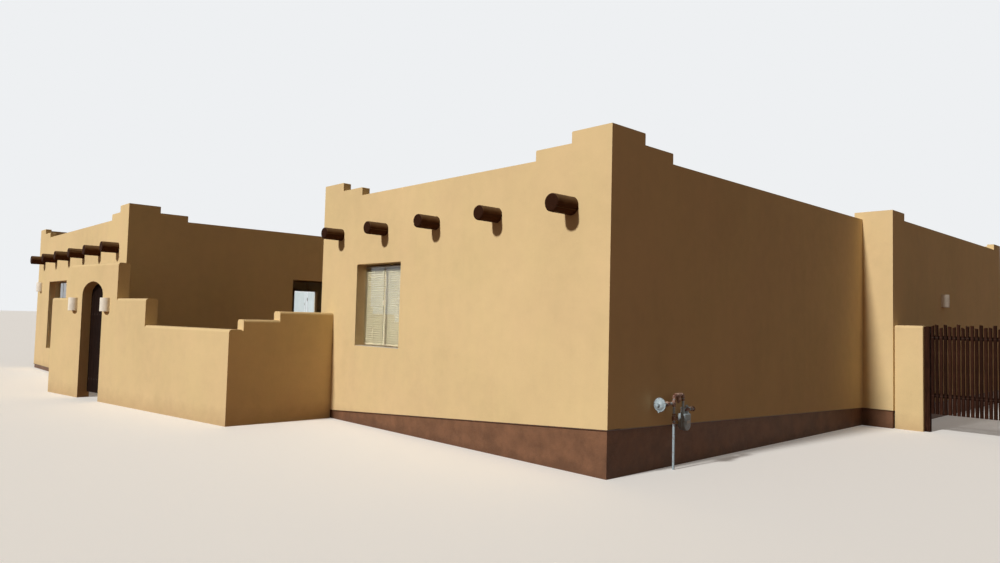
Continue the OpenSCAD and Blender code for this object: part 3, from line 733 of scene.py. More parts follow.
HOUSE_WALLS = (
    "near_front_wall", "near_side_wall", "near_court_wall",
    "rear_return_wall", "rear_side_wall", "rear_back_wall",
    "court_back_wall", "far_front_wall", "far_court_wall", "far_side_wall")
GARDEN_WALLS = (
    "garden_return_wall", "garden_low_wall", "garden_shoulder_right",
    "garden_shoulder_left", "garden_end_wall", "gateway_piers",
    "gateway_arch")
LOG_AXES = (3.260 + BASE_DROP, 3.232 + BASE_DROP)
LOG_POCKET = 0.16  # no point of a log's pocket lies further from its axis
POCKET_EDGE = 0.02  # nor is an edge of its rim longer
UNDERSIDE = 0.75  # the house walls' undersides lie below this
OPENING_TOP = 3.6  # and the openings' heads below this
CORNER_HIGH = 3.0  # an upright edge longer than this is a corner
EDGE_SHORT = 0.004  # and an edge shorter than this is left sharp
GARDEN_UNDERSIDE = 0.1


def fused(nodes):
    """The nodes' solids as one shell, with its flat faces made whole."""
    shells = [as_object(node + "_shell", node_shape(node)) for node in nodes]
    for other in shells[1:]:
        join = shells[0].modifiers.new("join", "BOOLEAN")
        join.operation, join.solver, join.object = "UNION", "EXACT", other
    bpy.context.view_layer.update()
    graph = bpy.context.evaluated_depsgraph_get()
    mesh = bpy.data.meshes.new_from_object(shells[0].evaluated_get(graph))
    bm = bmesh.new()
    bm.from_mesh(mesh)
    bpy.data.batch_remove([mesh] + [s.data for s in shells] + shells)
    weld(bm, 2 * WELD)
    bmesh.ops.dissolve_limit(bm, angle_limit=math.radians(0.5),
                             verts=bm.verts, edges=bm.edges)
    return bm


def faces_down(edge, below):
    return any(f.normal.z < -0.9 and f.calc_center_median().z < below
               for f in edge.link_faces)


def house_stucco(walls):
    """House walls with eased openings and hand-floated corners."""
    bm = fused(HOUSE_WALLS)

    def edges(of_openings, shortest=0.0):
        found = []
        for e in bm.edges:
            a, b = (v.co for v in e.verts)
            high, length = ((a + b) / 2).z, e.calc_length()
            by_log = length < POCKET_EDGE and any(
                abs(high - axis) < LOG_POCKET for axis in LOG_AXES)
            by_opening = (UNDERSIDE < high < OPENING_TOP
                          and abs(a.z - b.z) <= CORNER_HIGH)
            if (by_opening == of_openings and length > shortest
                    and not by_log and not faces_down(e, UNDERSIDE)):
                found.append(e)
        return found
    soften(bm, walls.reveal, 2, edges(True))
    soften(bm, walls.corner, 4, edges(False, EDGE_SHORT))
    return bm


class ADOBE_OT_house_walls(bpy.types.Operator):
    """Joins the house walls and rounds their corners by hand-float radii"""
    bl_idname = "adobe.house_walls"
    bl_label = "House walls"

    def execute(self, context):
        finish_piece("house_stucco", house_stucco(context.scene.adobe.walls),
                     "stucco", "stucco", replaces=HOUSE_WALLS)
        return {"FINISHED"}


class ADOBE_OT_garden_walls(bpy.types.Operator):
    """Joins the garden walls with the gateway, and dresses the yard's wall"""
    bl_idname = "adobe.garden_walls"
    bl_label = "Garden walls"

    def execute(self, context):
        for name, nodes in (("garden_stucco", GARDEN_WALLS),
                            ("yard_stucco", ("yard_stub_wall",))):
            bm = fused(nodes)
            soften(bm, context.scene.adobe.walls.garden, 3, [
                e for e in bm.edges if not faces_down(e, GARDEN_UNDERSIDE)])
            finish_piece(name, bm, "stucco", "stucco", replaces=nodes)
        return {"FINISHED"}


# Corners of the stucco's lower edge, in metres from the house corner
EDGE_LINE = (
    (-8.08, 0, -0.56), (0, 0, 0), (0, 9.4, -0.3), (0.65, 9.4, -0.3),
    (0.65, 19, -0.3), (-25.1, 19, -0.56), (-25.1, -2.2, -0.56),
    (-14.6, -2.2, -0.56), (-14.6, 9.4, -0.56), (-8.08, 9.4, -0.56))
STRIP = Sizes(high=0.012, thick=0.028, shift=-0.5)


class ADOBE_OT_drip_edge(bpy.types.Operator):
    """Drip strip at the stucco's lower edge; finishes of the plain base"""
    bl_idname = "adobe.drip_edge"
    bl_label = "Drip edge, footing, roof and floors"

    def execute(self, context):
        bm = bmesh.new()
        line = [bm.verts.new(HOUSE + Vector(p)) for p in EDGE_LINE]
        edges = [bm.edges.new(pair) for pair in zip(line, line[1:] + line[:1])]
        pull(bm, bmesh.ops.extrude_edge_only(bm, edges=edges),
             (0, 0, -STRIP.high))
        strip = finish_piece("drip_edge", bm, "strip", "iron", even=False)
        wall = strip.modifiers.new("strip_thickness", "SOLIDIFY")
        wall.thickness, wall.offset = STRIP.thick, STRIP.shift
        wall.use_even_offset = True
        dress("footing", "foundation_stem")
        dress("gravel", "near_roof_deck", "rear_roof_deck", "far_roof_deck")
        dress("tiles", "near_floor", "rear_floor", "far_floor")
        return {"FINISHED"}


# ---- roof logs ----------------------------------------------------------

LOG_ROUND = 0.028
LOG_RINGS = 22  # cuts along a log, for its waves
LOG_RIM = 1.2  # turn of a rim's edge, in radians
LOG_MIDDLE = 1e-4  # points nearer the middle than this stay
LOG_CUT = 0.012  # depth of an end that shows its rings
CRACKS = Sizes(count=3, shallow=0.010, deep=0.020, end=0.06)


def roof_log(length, radius, sides, seed):
    """Peeled log along y with drying cracks."""
    chance = Random(seed)
    bm = drum(radius, length, sides)
    caps = [f for f in bm.faces if len(f.verts) == sides]
    for cap in caps:
        for inset in (LOG_ROUND * 1.2, 0.03, 0.03):
            bmesh.ops.inset_region(bm, faces=[cap], thickness=inset,
                                   use_even_offset=True)
    bmesh.ops.poke(bm, faces=caps)
    divide_length(bm, length, LOG_RINGS)
    rims = [e for e in bm.edges if e.calc_face_angle(0.0) > LOG_RIM]
    round_edges(bm, rims, LOG_ROUND, 4)
    step = 2 * PI / sides
    cracks = [(chance.randrange(sides),
               chance.uniform(CRACKS.shallow, CRACKS.deep),
               chance.uniform(0, 9)) for _ in range(CRACKS.count)]
    shift = Vector((chance.uniform(0, 50),) * 3)

    def wave(turn, z, fine, along):
        return noise.noise(Vector((math.cos(turn) * fine,
                                   math.sin(turn) * fine,
                                   z * along)) + shift) - 0.6
    for vert in bm.verts:
        x, y, z = vert.co
        reach, turn = math.hypot(x, y), math.atan2(y, x)
        if reach < LOG_MIDDLE:
            continue
        at_end = max(0.0, (abs(z) - length / 2 + CRACKS.end) / CRACKS.end)
        rim = min(1.0, reach / radius)
        reach *= 1.0 + rim * (0.022 * wave(turn, z, 0.9, 1.6)
                              + 0.010 * wave(turn, z, 4, 3.0))
        for column, depth, phase in cracks:
            off = (turn - column * step + PI) % (2 * PI) - PI
            open_by = min(1.0, max(0.0, noise.noise(
                Vector((phase, z * 1.9, 3.1))) + 0.35 + 0.8 * at_end))
            if abs(off) < step * 0.5:
                reach -= depth * open_by * rim
            elif abs(off) < step * 1.5:
                turn -= math.copysign(step * 0.62, off) * open_by
        vert.co = (math.cos(turn) * reach, math.sin(turn) * reach, z)
    bmesh.ops.transform(bm, verts=bm.verts, matrix=turned(-90, "X")
                        @ Matrix.Rotation(chance.uniform(0, 6), 4, "Z"))
    return bm


def keep_grain(bm, spot):
    """Writes each point's place on its own piece before it is moved."""
    layer = bm.verts.layers.float_vector.new("grain")
    cut = bm.verts.layers.float.new("cut")
    ends = max(v.co.y for v in bm.verts) - LOG_CUT
    for vert in bm.verts:
        vert[layer] = vert.co
        vert[cut] = float(abs(vert.co.y) > ends)
    bmesh.ops.transform(bm, matrix=spot, verts=bm.verts)
    return bm


def place_logs(node, sides, seed):
    parts = []
    for i, (low, high) in enumerate(sorted(islands(node),
                                           key=lambda b: -b[0].x)):
        middle, length = (low + high) / 2, high.y - low.y
        log = roof_log(length, (high.z - low.z) / 2, sides, seed + i)
        parts.append(keep_grain(log, moved(*middle)))
    return gather(parts)


class ADOBE_OT_roof_logs(bpy.types.Operator):
    """Roof logs that run through the two front walls"""
    bl_idname = "adobe.roof_logs"
    bl_label = "Roof logs"

    def execute(self, context):
        sides = context.scene.adobe.roof.sides
        for name, node, seed in (("near_roof_logs", "near_logs", 11),
                                 ("far_roof_logs", "far_logs", 41)):
            finish_piece(name, place_logs(node, sides, seed), "log",
                         "log_wood", replaces=(node,), sharp=50, even=False)
        return {"FINISHED"}


# ---- windows and doors --------------------------------------------------

def opening(box, outward):
    """Width, height and place of an opening in a wall seen from outside."""
    low, high = box
    turn = {"-y": 0, "+x": 90, "+y": 180, "-x": 270}[outward]
    x = low.x if outward in ("-y", "-x") else high.x
    y = low.y if outward in ("-y", "+x") else high.y
    size = high - low
    width = size.x if "y" in outward else size.y
    return width, size.z, moved(x, y, low.z) @ turned(turn)


def fit_piece(name, make, node, finish, slot, outward="-y", **more):
    """Piece made to the size of the CAD node that it stands in for."""
    width, height, place = opening(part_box(node), outward)
    finish_piece(name, gather([make(width, height)], place), finish, slot,
                 replaces=(node,), **more)
    return width, place


def window(width, height, depth=0.07, bar=0.06, reveal=0.15):
    """Sliding window: frame, two sashes, track, catch and metal sill."""
    half, rail, sash = (width - 2 * bar) / 2, bar * 0.62, bar * 0.86
    parts = [surround(width, height, bar * 0.66, depth, edge=0.004),
             surround(width - 2 * rail, height - 2 * rail, bar * 0.38,
                      depth * 0.5, (rail, depth * 0.4, rail))]
    for i, back in ((0, 0.12), (1, 0.50)):
        parts.append(surround(
            half + rail / 2 + 0.004, height - 1.5 * bar, rail, depth * 0.34,
            (sash + i * (half - rail / 2 + 0.012), depth * back,
             bar * 0.75)))
    parts.append(block((0.018, 0.012, 0.10),
                       (sash + half - 0.002, depth * 0.12 - 0.004,
                        height * 0.5), 0.003))
    for i in range(3):
        parts.append(block((0.03, 0.004, 0.006),
                           (width * (0.2 + 0.3 * i), -0.001, 0.012), 0.001))
    sill = block((width - 0.006, reveal - 0.012, 0.006),
                 (0.003, 0.010 - reveal, 0.001), 0.002)
    for vert in sill.verts:
        vert.co.z += 0.05 * max(0.0, vert.co.y + reveal)
    return gather([*parts, sill])


BLIND = Sizes(head=0.045, foot=0.022, pitch=0.046, slat=0.050, tilt=62)


def blind(width, height):
    """Drawn blind: curved slats, ladder tapes, head box and foot rail."""
    head, foot, pitch = BLIND.head, BLIND.foot, BLIND.pitch
    slat = bmesh.new()
    bmesh.ops.create_grid(slat, x_segments=1, y_segments=4, size=0.5)
    for vert in slat.verts:
        x, y, _ = vert.co
        bulge = 0.004 * (1 - (2 * y) ** 2)
        vert.co = (x * (width - 0.01), y * BLIND.slat, bulge)
    bmesh.ops.transform(slat, verts=slat.verts,
                        matrix=turned(BLIND.tilt, "X"))
    bmesh.ops.solidify(slat, geom=slat.faces[:], thickness=0.0008)
    chance = Random(5)
    parts = [(slat.copy(), moved(width / 2, 0.028, foot + (i + 0.5) * pitch)
              @ turned(chance.uniform(-2.5, 2.5), "X"))
             for i in range(int((height - head - foot) / pitch))]
    slat.free()
    for x in (0.2, 0.5, 0.8):
        for y in (0.006, 0.050):
            parts.append(block((0.012, 0.001, height - head),
                               (width * x - 0.006, y, 0.01)))
    parts += [block((width, 0.05, head), (0, 0.003, height - head), 0.004),
              block((width - 0.01, 0.045, foot), (0.005, 0.006, 0), 0.005)]
    return gather(parts)


class ADOBE_OT_front_window(bpy.types.Operator):
    """Front window: sliding frame, drawn blind and its glass"""
    bl_idname = "adobe.front_window"
    bl_label = "Front window"

    def execute(self, context):
        fit_piece("front_window_frame", window, "near_window_frame",
                  "white", "white_frame")
        fit_piece("front_window_blind", blind, "near_window_blind",
                  "slats", "blind", even=False, sharp=50)
        dress("glass", "near_window_glass")
        return {"FINISHED"}


def wall_outward(low, high):
    """Which way the wall round an opening faces."""
    middle = (low + high) / 2
    for node, outward in (("near_court_wall", "-x"), ("far_court_wall", "+x"),
                          ("far_side_wall", "-x"), ("court_back_wall", "-y"),
                          ("rear_back_wall", "+y")):
        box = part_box(node)
        if all(box[0][i] - 0.01 < middle[i] < box[1][i] + 0.01
               for i in range(3)):
            return outward
    raise RuntimeError("a window stands in no wall")


class ADOBE_OT_plain_windows(bpy.types.Operator):
    """The repeated sliding windows of the court, side and back"""
    bl_idname = "adobe.plain_windows"
    bl_label = "Plain windows"

    def execute(self, context):
        parts = []
        for box in islands("plain_window_frames"):
            width, height, place = opening(box, wall_outward(*box))
            parts.append((window(width, height), place))
        finish_piece("plain_window_units", gather(parts), "white",
                     "white_frame", replaces=("plain_window_frames",))
        dress("glass", "plain_window_glass", "garden_door_glass")
        return {"FINISHED"}


def garden_door(width, height):
    """Glazed door onto the garden: frame, two tall sashes, threshold."""
    half = width / 2
    parts = [surround(width, height, 0.045, 0.07, edge=0.004),
             block((width - 0.01, 0.09, 0.022), (0.005, -0.014, 0.0), 0.004)]
    for i, back in ((0, 0.008), (1, 0.036)):
        parts.append(surround(half - 0.006, height - 0.084, 0.058, 0.026,
                              (0.042 + i * (half - 0.078), back, 0.042),
                              0.004))
    x = half + 0.035
    parts += [block((0.028, 0.006, 0.22), (x - 0.014, 0.031, 0.92), 0.004),
              pipe([(x, 0.034, 0.94), (x, -0.012, 0.94), (x, -0.012, 1.12),
                    (x, 0.034, 1.12)], 0.007, 0.02)]
    return gather(parts)


class ADOBE_OT_garden_door(bpy.types.Operator):
    """Fixed glazed garden door of the far wing"""
    bl_idname = "adobe.garden_door"
    bl_label = "Garden door"

    def execute(self, context):
        fit_piece("garden_door_unit", garden_door, "garden_door_frame",
                  "white", "white_frame")
        return {"FINISHED"}


DOOR = Sizes(stile=0.12, lock=0.13, lock_at=0.44, middle=0.10, frame=0.06,
             thick=0.05, groove=0.025, lever=0.06, lever_high=0.95)


def panel_door(width, height):
    """Stile-and-rail door with raised panels set in grooves."""
    stile, lock, bar = DOOR.stile, DOOR.lock, DOOR.middle
    thick, groove = DOOR.thick, DOOR.groove
    lock_low = height * DOOR.lock_at
    parts = [surround(width, height, stile, thick, edge=0.004),
             block((width - 2 * stile + 0.002, thick, lock),
                   (stile - 0.001, 0, lock_low), 0.004),
             block((bar, thick - 0.002, height - 2 * stile),
                   (width / 2 - bar / 2, 0.001, stile), 0.004)]
    across = (width - 2 * stile - bar) / 2
    for low, high in ((stile, lock_low), (lock_low + lock, height - stile)):
        for x in (stile, width / 2 + bar / 2):
            parts += [block((across, thick * 0.5, high - low),
                            (x, thick * 0.25, low)),
                      block((across - 2 * groove, thick * 0.84,
                             high - low - 2 * groove),
                            (x + groove, thick * 0.08, low + groove),
                            0.014, 1)]
    return gather(parts)


def lever_set():
    """Long plates with a lever and a keyhole rose on both faces."""
    parts = []
    for side, y in ((-1, 0.0), (1, DOOR.thick)):
        parts += [block((0.045, 0.006, 0.20),
                        (-0.0225, y - (0.006 if side < 0 else 0), -0.08),
                        0.003),
                  pipe([(0, y, 0.03), (0, y + side * 0.045, 0.03),
                        (-0.115, y + side * 0.045, 0.03)], 0.009, 0.018),
                  rod(0.011, 0.006, (0, side, 0), (0, y, -0.045), 16, 0.002)]
    return gather(parts)


def door_frame(width, height, depth=0.07):
    """Two jambs and a head."""
    bar = DOOR.frame
    return gather([
        block((bar, depth, height), (0, 0, 0), 0.004),
        block((bar, depth, height), (width - bar, 0, 0), 0.004),
        block((width - 2 * bar, depth, bar), (bar, 0, height - bar), 0.004)])


class ADOBE_OT_house_doors(bpy.types.Operator):
    """The entry and back doors with their frames and levers"""
    bl_idname = "adobe.house_doors"
    bl_label = "House doors"

    def execute(self, context):
        levers, frames = [], []
        for node, outward in (("entry_door", "-y"), ("back_door", "+y")):
            width, place = fit_piece(node.replace("_", "_panelled_"),
                                     panel_door, node, "door", "door_wood",
                                     outward)
            levers.append((lever_set(), place @ moved(
                width - DOOR.lever, 0, DOOR.lever_high)))
        for box in islands("door_frames"):
            in_court = box[0].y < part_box("court_back_wall")[1].y
            width, height, place = opening(box, "-y" if in_court else "+y")
            frames.append((door_frame(width, height), place))
        finish_piece("door_levers", gather(levers), "iron", "iron")
        finish_piece("door_surrounds", gather(frames), "door", "door_wood",
                     replaces=("door_frames",))
        return {"FINISHED"}


# ---- gateway ------------------------------------------------------------

GATE = Sizes(wide=1.106, low=-0.56, high=1.74, boards=7, gap=0.003,
             thick=0.034, rail=0.030, rail_high=0.110, hinge_x=-6.608,
             wall=0.28, out=0.024, pin=0.008, eye=0.0165, eye_high=0.060,
             strap=0.040)
GATE_FRONT = GATE.wall - GATE.rail - GATE.thick
HINGES = (GATE.low + 0.30, GATE.high - 0.38)
ARCH = Sizes(wide=1.130, spring=1.860, rise=0.345, haunch=0.250, gap=0.012)


def arch_head(x):
    """Height of the gate's round head, x metres from the arch's middle."""
    haunch, rise, x = ARCH.haunch, ARCH.rise, abs(x)
    side = ARCH.wide / 2 - haunch
    crown = (side ** 2 + rise ** 2 - haunch ** 2) / (2 * (rise - haunch))
    drop = crown - rise
    if x < (crown - ARCH.gap) * math.cos(math.atan2(drop, side)):
        return ARCH.spring - drop + math.sqrt((crown - ARCH.gap) ** 2 - x * x)
    reach = (haunch - ARCH.gap) ** 2 - (x - side) ** 2
    return ARCH.spring + math.sqrt(max(0.0, reach))


def gate_boards():
    """Upright boards cut to the arch, with worn edges, on three rails."""
    chance = Random(23)
    wide, foot = GATE.wide / GATE.boards, GATE.low + 0.002
    middle = GATE.hinge_x + GATE.wide / 2
    parts = []
    for i in range(GATE.boards):
        left = GATE.hinge_x + i * wide + GATE.gap / 2
        outline = [(left, foot), (left + wide - GATE.gap, foot)]
        for k in range(6, -1, -1):
            x = left + (wide - GATE.gap) * k / 6
            outline.append((x, arch_head(x - middle)))
        board = slab(outline, GATE_FRONT, GATE.thick, 0.005)
        bmesh.ops.translate(board, verts=board.verts,
                            vec=(0, chance.uniform(-0.0015, 0.0), 0))
        parts.append(board)
    for z in (*HINGES, GATE.high + 0.03):
        parts.append(block(
            (GATE.wide - 0.06, GATE.rail, GATE.rail_high),
            (GATE.hinge_x + 0.03, GATE.wall - GATE.rail,
             z + GATE.eye_high / 2 - GATE.rail_high / 2), 0.005))
    return gather(parts, GARDEN)


def ring(radius, thick):
    """Round ring that stands in the plane of the wall."""
    bm = bmesh.new()
    bmesh.ops.create_circle(bm, cap_ends=False, segments=10, radius=thick,
                            matrix=moved(radius, 0, 0))
    bmesh.ops.spin(bm, geom=bm.verts[:] + bm.edges[:], cent=(0, 0, 0),
                   axis=BACK, angle=2 * PI, steps=28, use_merge=True)
    return bm


def gate_straps():
    """Hinge straps with eyes, their bolts, and the ring pull."""
    left, y, eye, high = GATE.hinge_x, GATE.wall, GATE.eye, GATE.eye_high
    bore, long = 0.0086, GATE.wide * 0.6
    parts = []
    for z in HINGES:
        middle = z + high / 2
        strap = block((long, 0.008, GATE.strap),
                      (left, y, middle - GATE.strap / 2), 0.0015)
        for vert in strap.verts:
            taper = 1.0 - 0.45 * (vert.co.x - left) / long
            vert.co.z = middle + (vert.co.z - middle) * taper
        parts += [
            strap,
            block((eye, GATE.out - 0.003, high), (left, y + 0.003, z), 0.002),
            lathe([(bore, 0), (eye - 0.002, 0), (eye, 0.002),
                   (eye, high - 0.002), (eye - 0.002, high), (bore, high),
                   (bore, 0)], at=(left, y + GATE.out, z), sides=28)]
        for i in range(4):
            x = left + 0.09 + i * 0.145
            parts += [nail(0.006, 0.010, 0.006, BACK, (x, y + 0.008, middle)),
                      nail(0.007, 0.012, 0.006, FRONT,
                           (x, GATE_FRONT, middle))]
    x = left + GATE.wide - 0.09
    parts += [block((0.055, 0.004, 0.14),
                    (x - 0.0275, GATE_FRONT - 0.004, 0.52), 0.0015),
              (ring(0.038, 0.006), moved(x, GATE_FRONT - 0.016, 0.55)),
              rod(0.007, 0.022, FRONT, (x, GATE_FRONT, 0.592), 12, 0.002)]
    return gather(parts, GARDEN)


def gate_pins():
    """Pins on plates let into the back of the left pier."""
    x, y, axis = GATE.hinge_x, GATE.wall, GATE.wall + GATE.out
    parts = []
    for z in HINGES:
        parts += [
            rod(GATE.pin, 0.110, UP, (x, axis, z - 0.030), 20, 0.002),
            pipe([(x, axis, z - 0.022), (x - 0.030, axis, z - 0.045),
                  (x - 0.050, y + 0.006, z - 0.045)], 0.0075, 0.012),
            block((0.070, 0.010, 0.120), (x - 0.102, y, z - 0.080), 0.002)]
        for dz in (-0.062, 0.022):
            parts.append(nail(0.006, 0.009, 0.005, BACK,
                              (x - 0.067, y + 0.010, z + dz)))
    return gather(parts, GARDEN)


def wall_light(radius=0.150, height=0.330, thick=0.012):
    """Half-round plaster light, open above, its rims softened."""
    outline = [(0.0, 0.0), (radius - 0.010, 0.0), (radius - 0.003, 0.003),
               (radius, 0.010), (radius, height * 0.5),
               (radius, height - 0.006), (radius - 0.004, height),
               (radius - thick + 0.003, height),
               (radius - thick, height - 0.004), (radius - thick, thick),
               (0.0, thick)]
    shell = [lathe(outline, sides=24, sweep=PI)]
    for x in (-radius + 0.001, radius - 0.025):
        shell.append(block((0.024, 0.004, height * 0.5),
                           (x, -0.0045, height * 0.25), 0.001))
    return gather(shell)


class ADOBE_OT_gate(bpy.types.Operator):
    """Boarded gate with its straps, and the pins that it hangs on"""
    bl_idname = "adobe.gate"
    bl_label = "Gate"

    def execute(self, context):
        finish_piece("gate_boards", gate_boards(), "gate", "gate_wood",
                     "gate", replaces=("gate_leaf",))
        finish_piece("gate_straps", gate_straps(), "iron", "iron", "gate")
        finish_piece("gate_hinge_pins", gate_pins(), "iron", "iron",
                     replaces=("gate_pins",))
        return {"FINISHED"}


class ADOBE_OT_wall_lights(bpy.types.Operator):
    """Half-round plaster lights beside the gateway and on the house"""
    bl_idname = "adobe.wall_lights"
    bl_label = "Wall lights"

    def execute(self, context):
        for name, node, spots in (
                ("gateway_light_pair", "gateway_lights",
                 [GARDEN @ moved(x, 0, 1.47) for x in (-5.26, -7.03)]),
                ("house_light_pair", "house_lights",
                 (stand(-24.59, -2.2, 2.11),
                  stand(0.65, 13.06, 2.11, 90.0)))):
            finish_piece(name, gather([(wall_light(), s) for s in spots]),
                         "plaster", "light_shade", replaces=(node,))
        return {"FINISHED"}


# ---- gas meter set ------------------------------------------------------

GAS = Sizes(x=1.06, off=-0.15, z=0.305, pipe=0.019, riser=1.44, meter=1.74,
            top=0.135, loop=0.425, port=0.050, out=0.240, half=0.095)
GAS_IN, GAS_OUT = GAS.meter - GAS.port, GAS.meter + GAS.port
GAS_LEVEL, GAS_END = GAS.top + GAS.port, GAS_OUT + GAS.out
FITTING = GAS.pipe + 0.008
ELBOW = Sizes(reach=0.046, bend=0.036)
METER_PLACE = NEAR_SIDE @ moved(GAS.meter, GAS.off, GAS.top)


def regulator():
    """Round pressure regulator facing the front, with a bolted rim."""
    at = Vector((GAS.x, GAS.off, GAS.z))
    outline = [(0, -0.046), (0.026, -0.046), (0.028, -0.044),
               (0.028, -0.031), (0.060, -0.027), (0.070, -0.016),
               (0.076, -0.009), (0.103, -0.008), (0.105, -0.006),
               (0.105, 0.003), (0.103, 0.006), (0.086, 0.009),
               (0.078, 0.018), (0.066, 0.030), (0.050, 0.039),
               (0.032, 0.044), (0.028, 0.047), (0.028, 0.068),
               (0.024, 0.075), (0.0, 0.076)]
    parts = [lathe(outline, LEFT, at, 48)]
    bolts, circle = 10, 0.0945
    for i in range(bolts):
        turn = i * 2 * PI / bolts + 0.2
        spot = at + Vector((-0.005, math.cos(turn) * circle,
                            math.sin(turn) * circle))
        parts += [hex_nut(0.0068, 0.008, LEFT, spot),
                  hex_nut(0.0068, 0.006, RIGHT,
                          spot + Vector((0.012, 0, 0)))]
    parts += [pipe([at + Vector((0.010, 0, -0.070)),
                    at + Vector((0.010, 0, -0.108)),
                    at + Vector((-0.026, 0, -0.108))], 0.009, 0.014),
              rod(0.012, 0.012, LEFT, at + Vector((-0.022, 0, -0.108)), 16,
                  0.002)]
    return gather(parts, NEAR_SIDE)


def gas_pipes():
    """Riser, loop and outlet with their bends, in one painted run."""
    y, r, link = GAS.off, GAS.pipe, GAS.x + 0.0463
    parts = [
        pipe([(GAS.riser, y, -BASE_DROP), (GAS.riser, y, GAS.loop),
              (GAS_IN, y, GAS.loop), (GAS_IN, y, GAS.top)], r, 0.034),
        rod(r, GAS.riser - link, RIGHT, (link, y, GAS.z), 20),
        pipe([(GAS_OUT, y, GAS.top), (GAS_OUT, y, GAS_LEVEL),
              (GAS_END, y, GAS_LEVEL), (GAS_END, -0.002, GAS_LEVEL)],
             r, 0.032),
        lathe([(r, 0), (0.044, 0), (0.047, 0.003), (0.047, 0.007),
               (0.024, 0.012), (r, 0.012)], FRONT,
              (GAS_END, -0.001, GAS_LEVEL), 24)]
    return gather(parts, NEAR_SIDE)


def elbow(corner, arms, wider, start, length, sides, edge):
    """Elbow with a wider band round the end of each arm."""
    corner, arms = Vector(corner), [Vector(arm) for arm in arms]
    parts = [pipe([corner + arms[0] * ELBOW.reach, corner,
                   corner + arms[1] * ELBOW.reach], FITTING - 0.002,
                  ELBOW.bend)]
    for arm in arms:
        parts.append(rod(FITTING + wider, length, arm, corner + arm * start,
                         sides, edge))
    return parts


def gas_fittings():
    """Rusty tee, shut-off cock, unions and banded elbows."""
    y, z, loop, riser = GAS.off, GAS.z, GAS.loop, GAS.riser
    valve = riser + 0.125
    parts = [rod(FITTING, 0.11, UP, (riser, y, z - 0.055), 20, 0.003),
             rod(FITTING, 0.06, LEFT, (riser, y, z), 20, 0.003),
             rod(0.031, 0.070, UP, (riser, y, 0.040), 20, 0.005),
             hex_nut(0.032, 0.024, UP, (riser, y, -0.010)),
             hex_nut(0.032, 0.024, UP, (riser, y, 0.122)),
             rod(0.018, 0.070, FRONT, (riser, y + 0.010, 0.075), 16, 0.003),
             block((0.014, 0.014, 0.060), (riser - 0.007, y - 0.070, 0.046),
                   0.003)]
    for x, high, arm in ((riser, loop, RIGHT), (GAS_IN, loop, LEFT),
                         (GAS_OUT, GAS_LEVEL, RIGHT)):
        parts += elbow((x, y, high), (arm, DOWN), 0.003, 0.040,
                       0.012, 20, 0.002)
    parts += [
        hex_nut(0.031, 0.024, UP, (GAS_IN, y, 0.330)),
        rod(0.032, 0.096, RIGHT, (riser + 0.077, y, loop), 20, 0.005),
        lathe([(0, 0), (0.036, 0), (0.036, 0.070), (0.030, 0.080),
               (0.030, 0.098), (0.024, 0.104), (0, 0.104)], DOWN,
              (valve, y, loop), 24),
        hex_nut(0.018, 0.022, DOWN, (valve, y, loop - 0.103)),
        rod(0.041, 0.018, RIGHT, (GAS.x + 0.180, y, z), 28, 0.004),
        rod(0.031, 0.046, RIGHT, (GAS.x + 0.196, y, z), 24, 0.004),
        hex_nut(0.031, 0.024, RIGHT, (GAS_OUT + 0.120, y, GAS_LEVEL))]
    parts += elbow((GAS_END, y, GAS_LEVEL), (LEFT, BACK), 0.010, 0.038,
                   0.015, 24, 0.003)
    return gather(parts, NEAR_SIDE)


def meter_slab(front, depth, grow, edge):
    """Upright slab with a half-round foot, grown about its middle."""
    half, steps = GAS.half * grow, 14
    outline = [(-half, 0.0), (half, 0.0)]
    outline += [(half * math.cos(PI * i / steps),
                 -0.175 - half * math.sin(PI * i / steps))
                for i in range(steps + 1)]
    return slab([(x, z - (1 - grow) * 0.06) for x, z in outline],
                front, depth, edge, 3)


def meter_body():
    """Cast meter case: two bolted halves with necks, and a dial box."""
    parts = [meter_slab(-0.060, 0.130, 0.92, 0.016),
             meter_slab(-0.004, 0.014, 1.0, 0.003)]
    for x, z in ((0.085, -0.012), (0.087, -0.095), (0.086, -0.180),
                 (0.060, -0.240)):
        for side in (-x, x):
            parts.append(hex_nut(0.0055, 0.006, FRONT, (side, -0.004, z)))
    parts += [hex_nut(0.0055, 0.006, FRONT, (0.0, -0.004, -0.264)),
              block((0.120, 0.016, 0.070), (-0.060, -0.070, -0.165), 0.004),
              surround(0.120, 0.070, 0.012, 0.006,
                       (-0.060, -0.0705, -0.165), 0.002)]
    for side, high in ((-1, 0.088), (1, 0.028)):
        parts.append(lathe(
            [(0, -0.010), (0.042, -0.010), (0.042, 0.006), (0.034, 0.012),
             (0.030, high - 0.018), (0.036, high - 0.014),
             (0.036, high - 0.002), (0.034, high), (0, high)],
            at=(side * GAS.port, 0, 0), sides=28))
    return gather(parts, METER_PLACE)


def meter_dials():
    """Row of small blank dials behind the dial box's front."""
    outline = [(0, 0.0), (0.0085, 0.0), (0.009, 0.0012), (0.0075, 0.0016),
               (0.007, 0.0008), (0, 0.0008)]
    parts = [block((0.094, 0.002, 0.044), (-0.047, -0.0715, -0.152), 0.0005)]
    for i in range(4):
        parts.append(lathe(outline, FRONT,
                           (-0.033 + i * 0.022, -0.0714, -0.130), 18))
    return gather(parts, METER_PLACE)


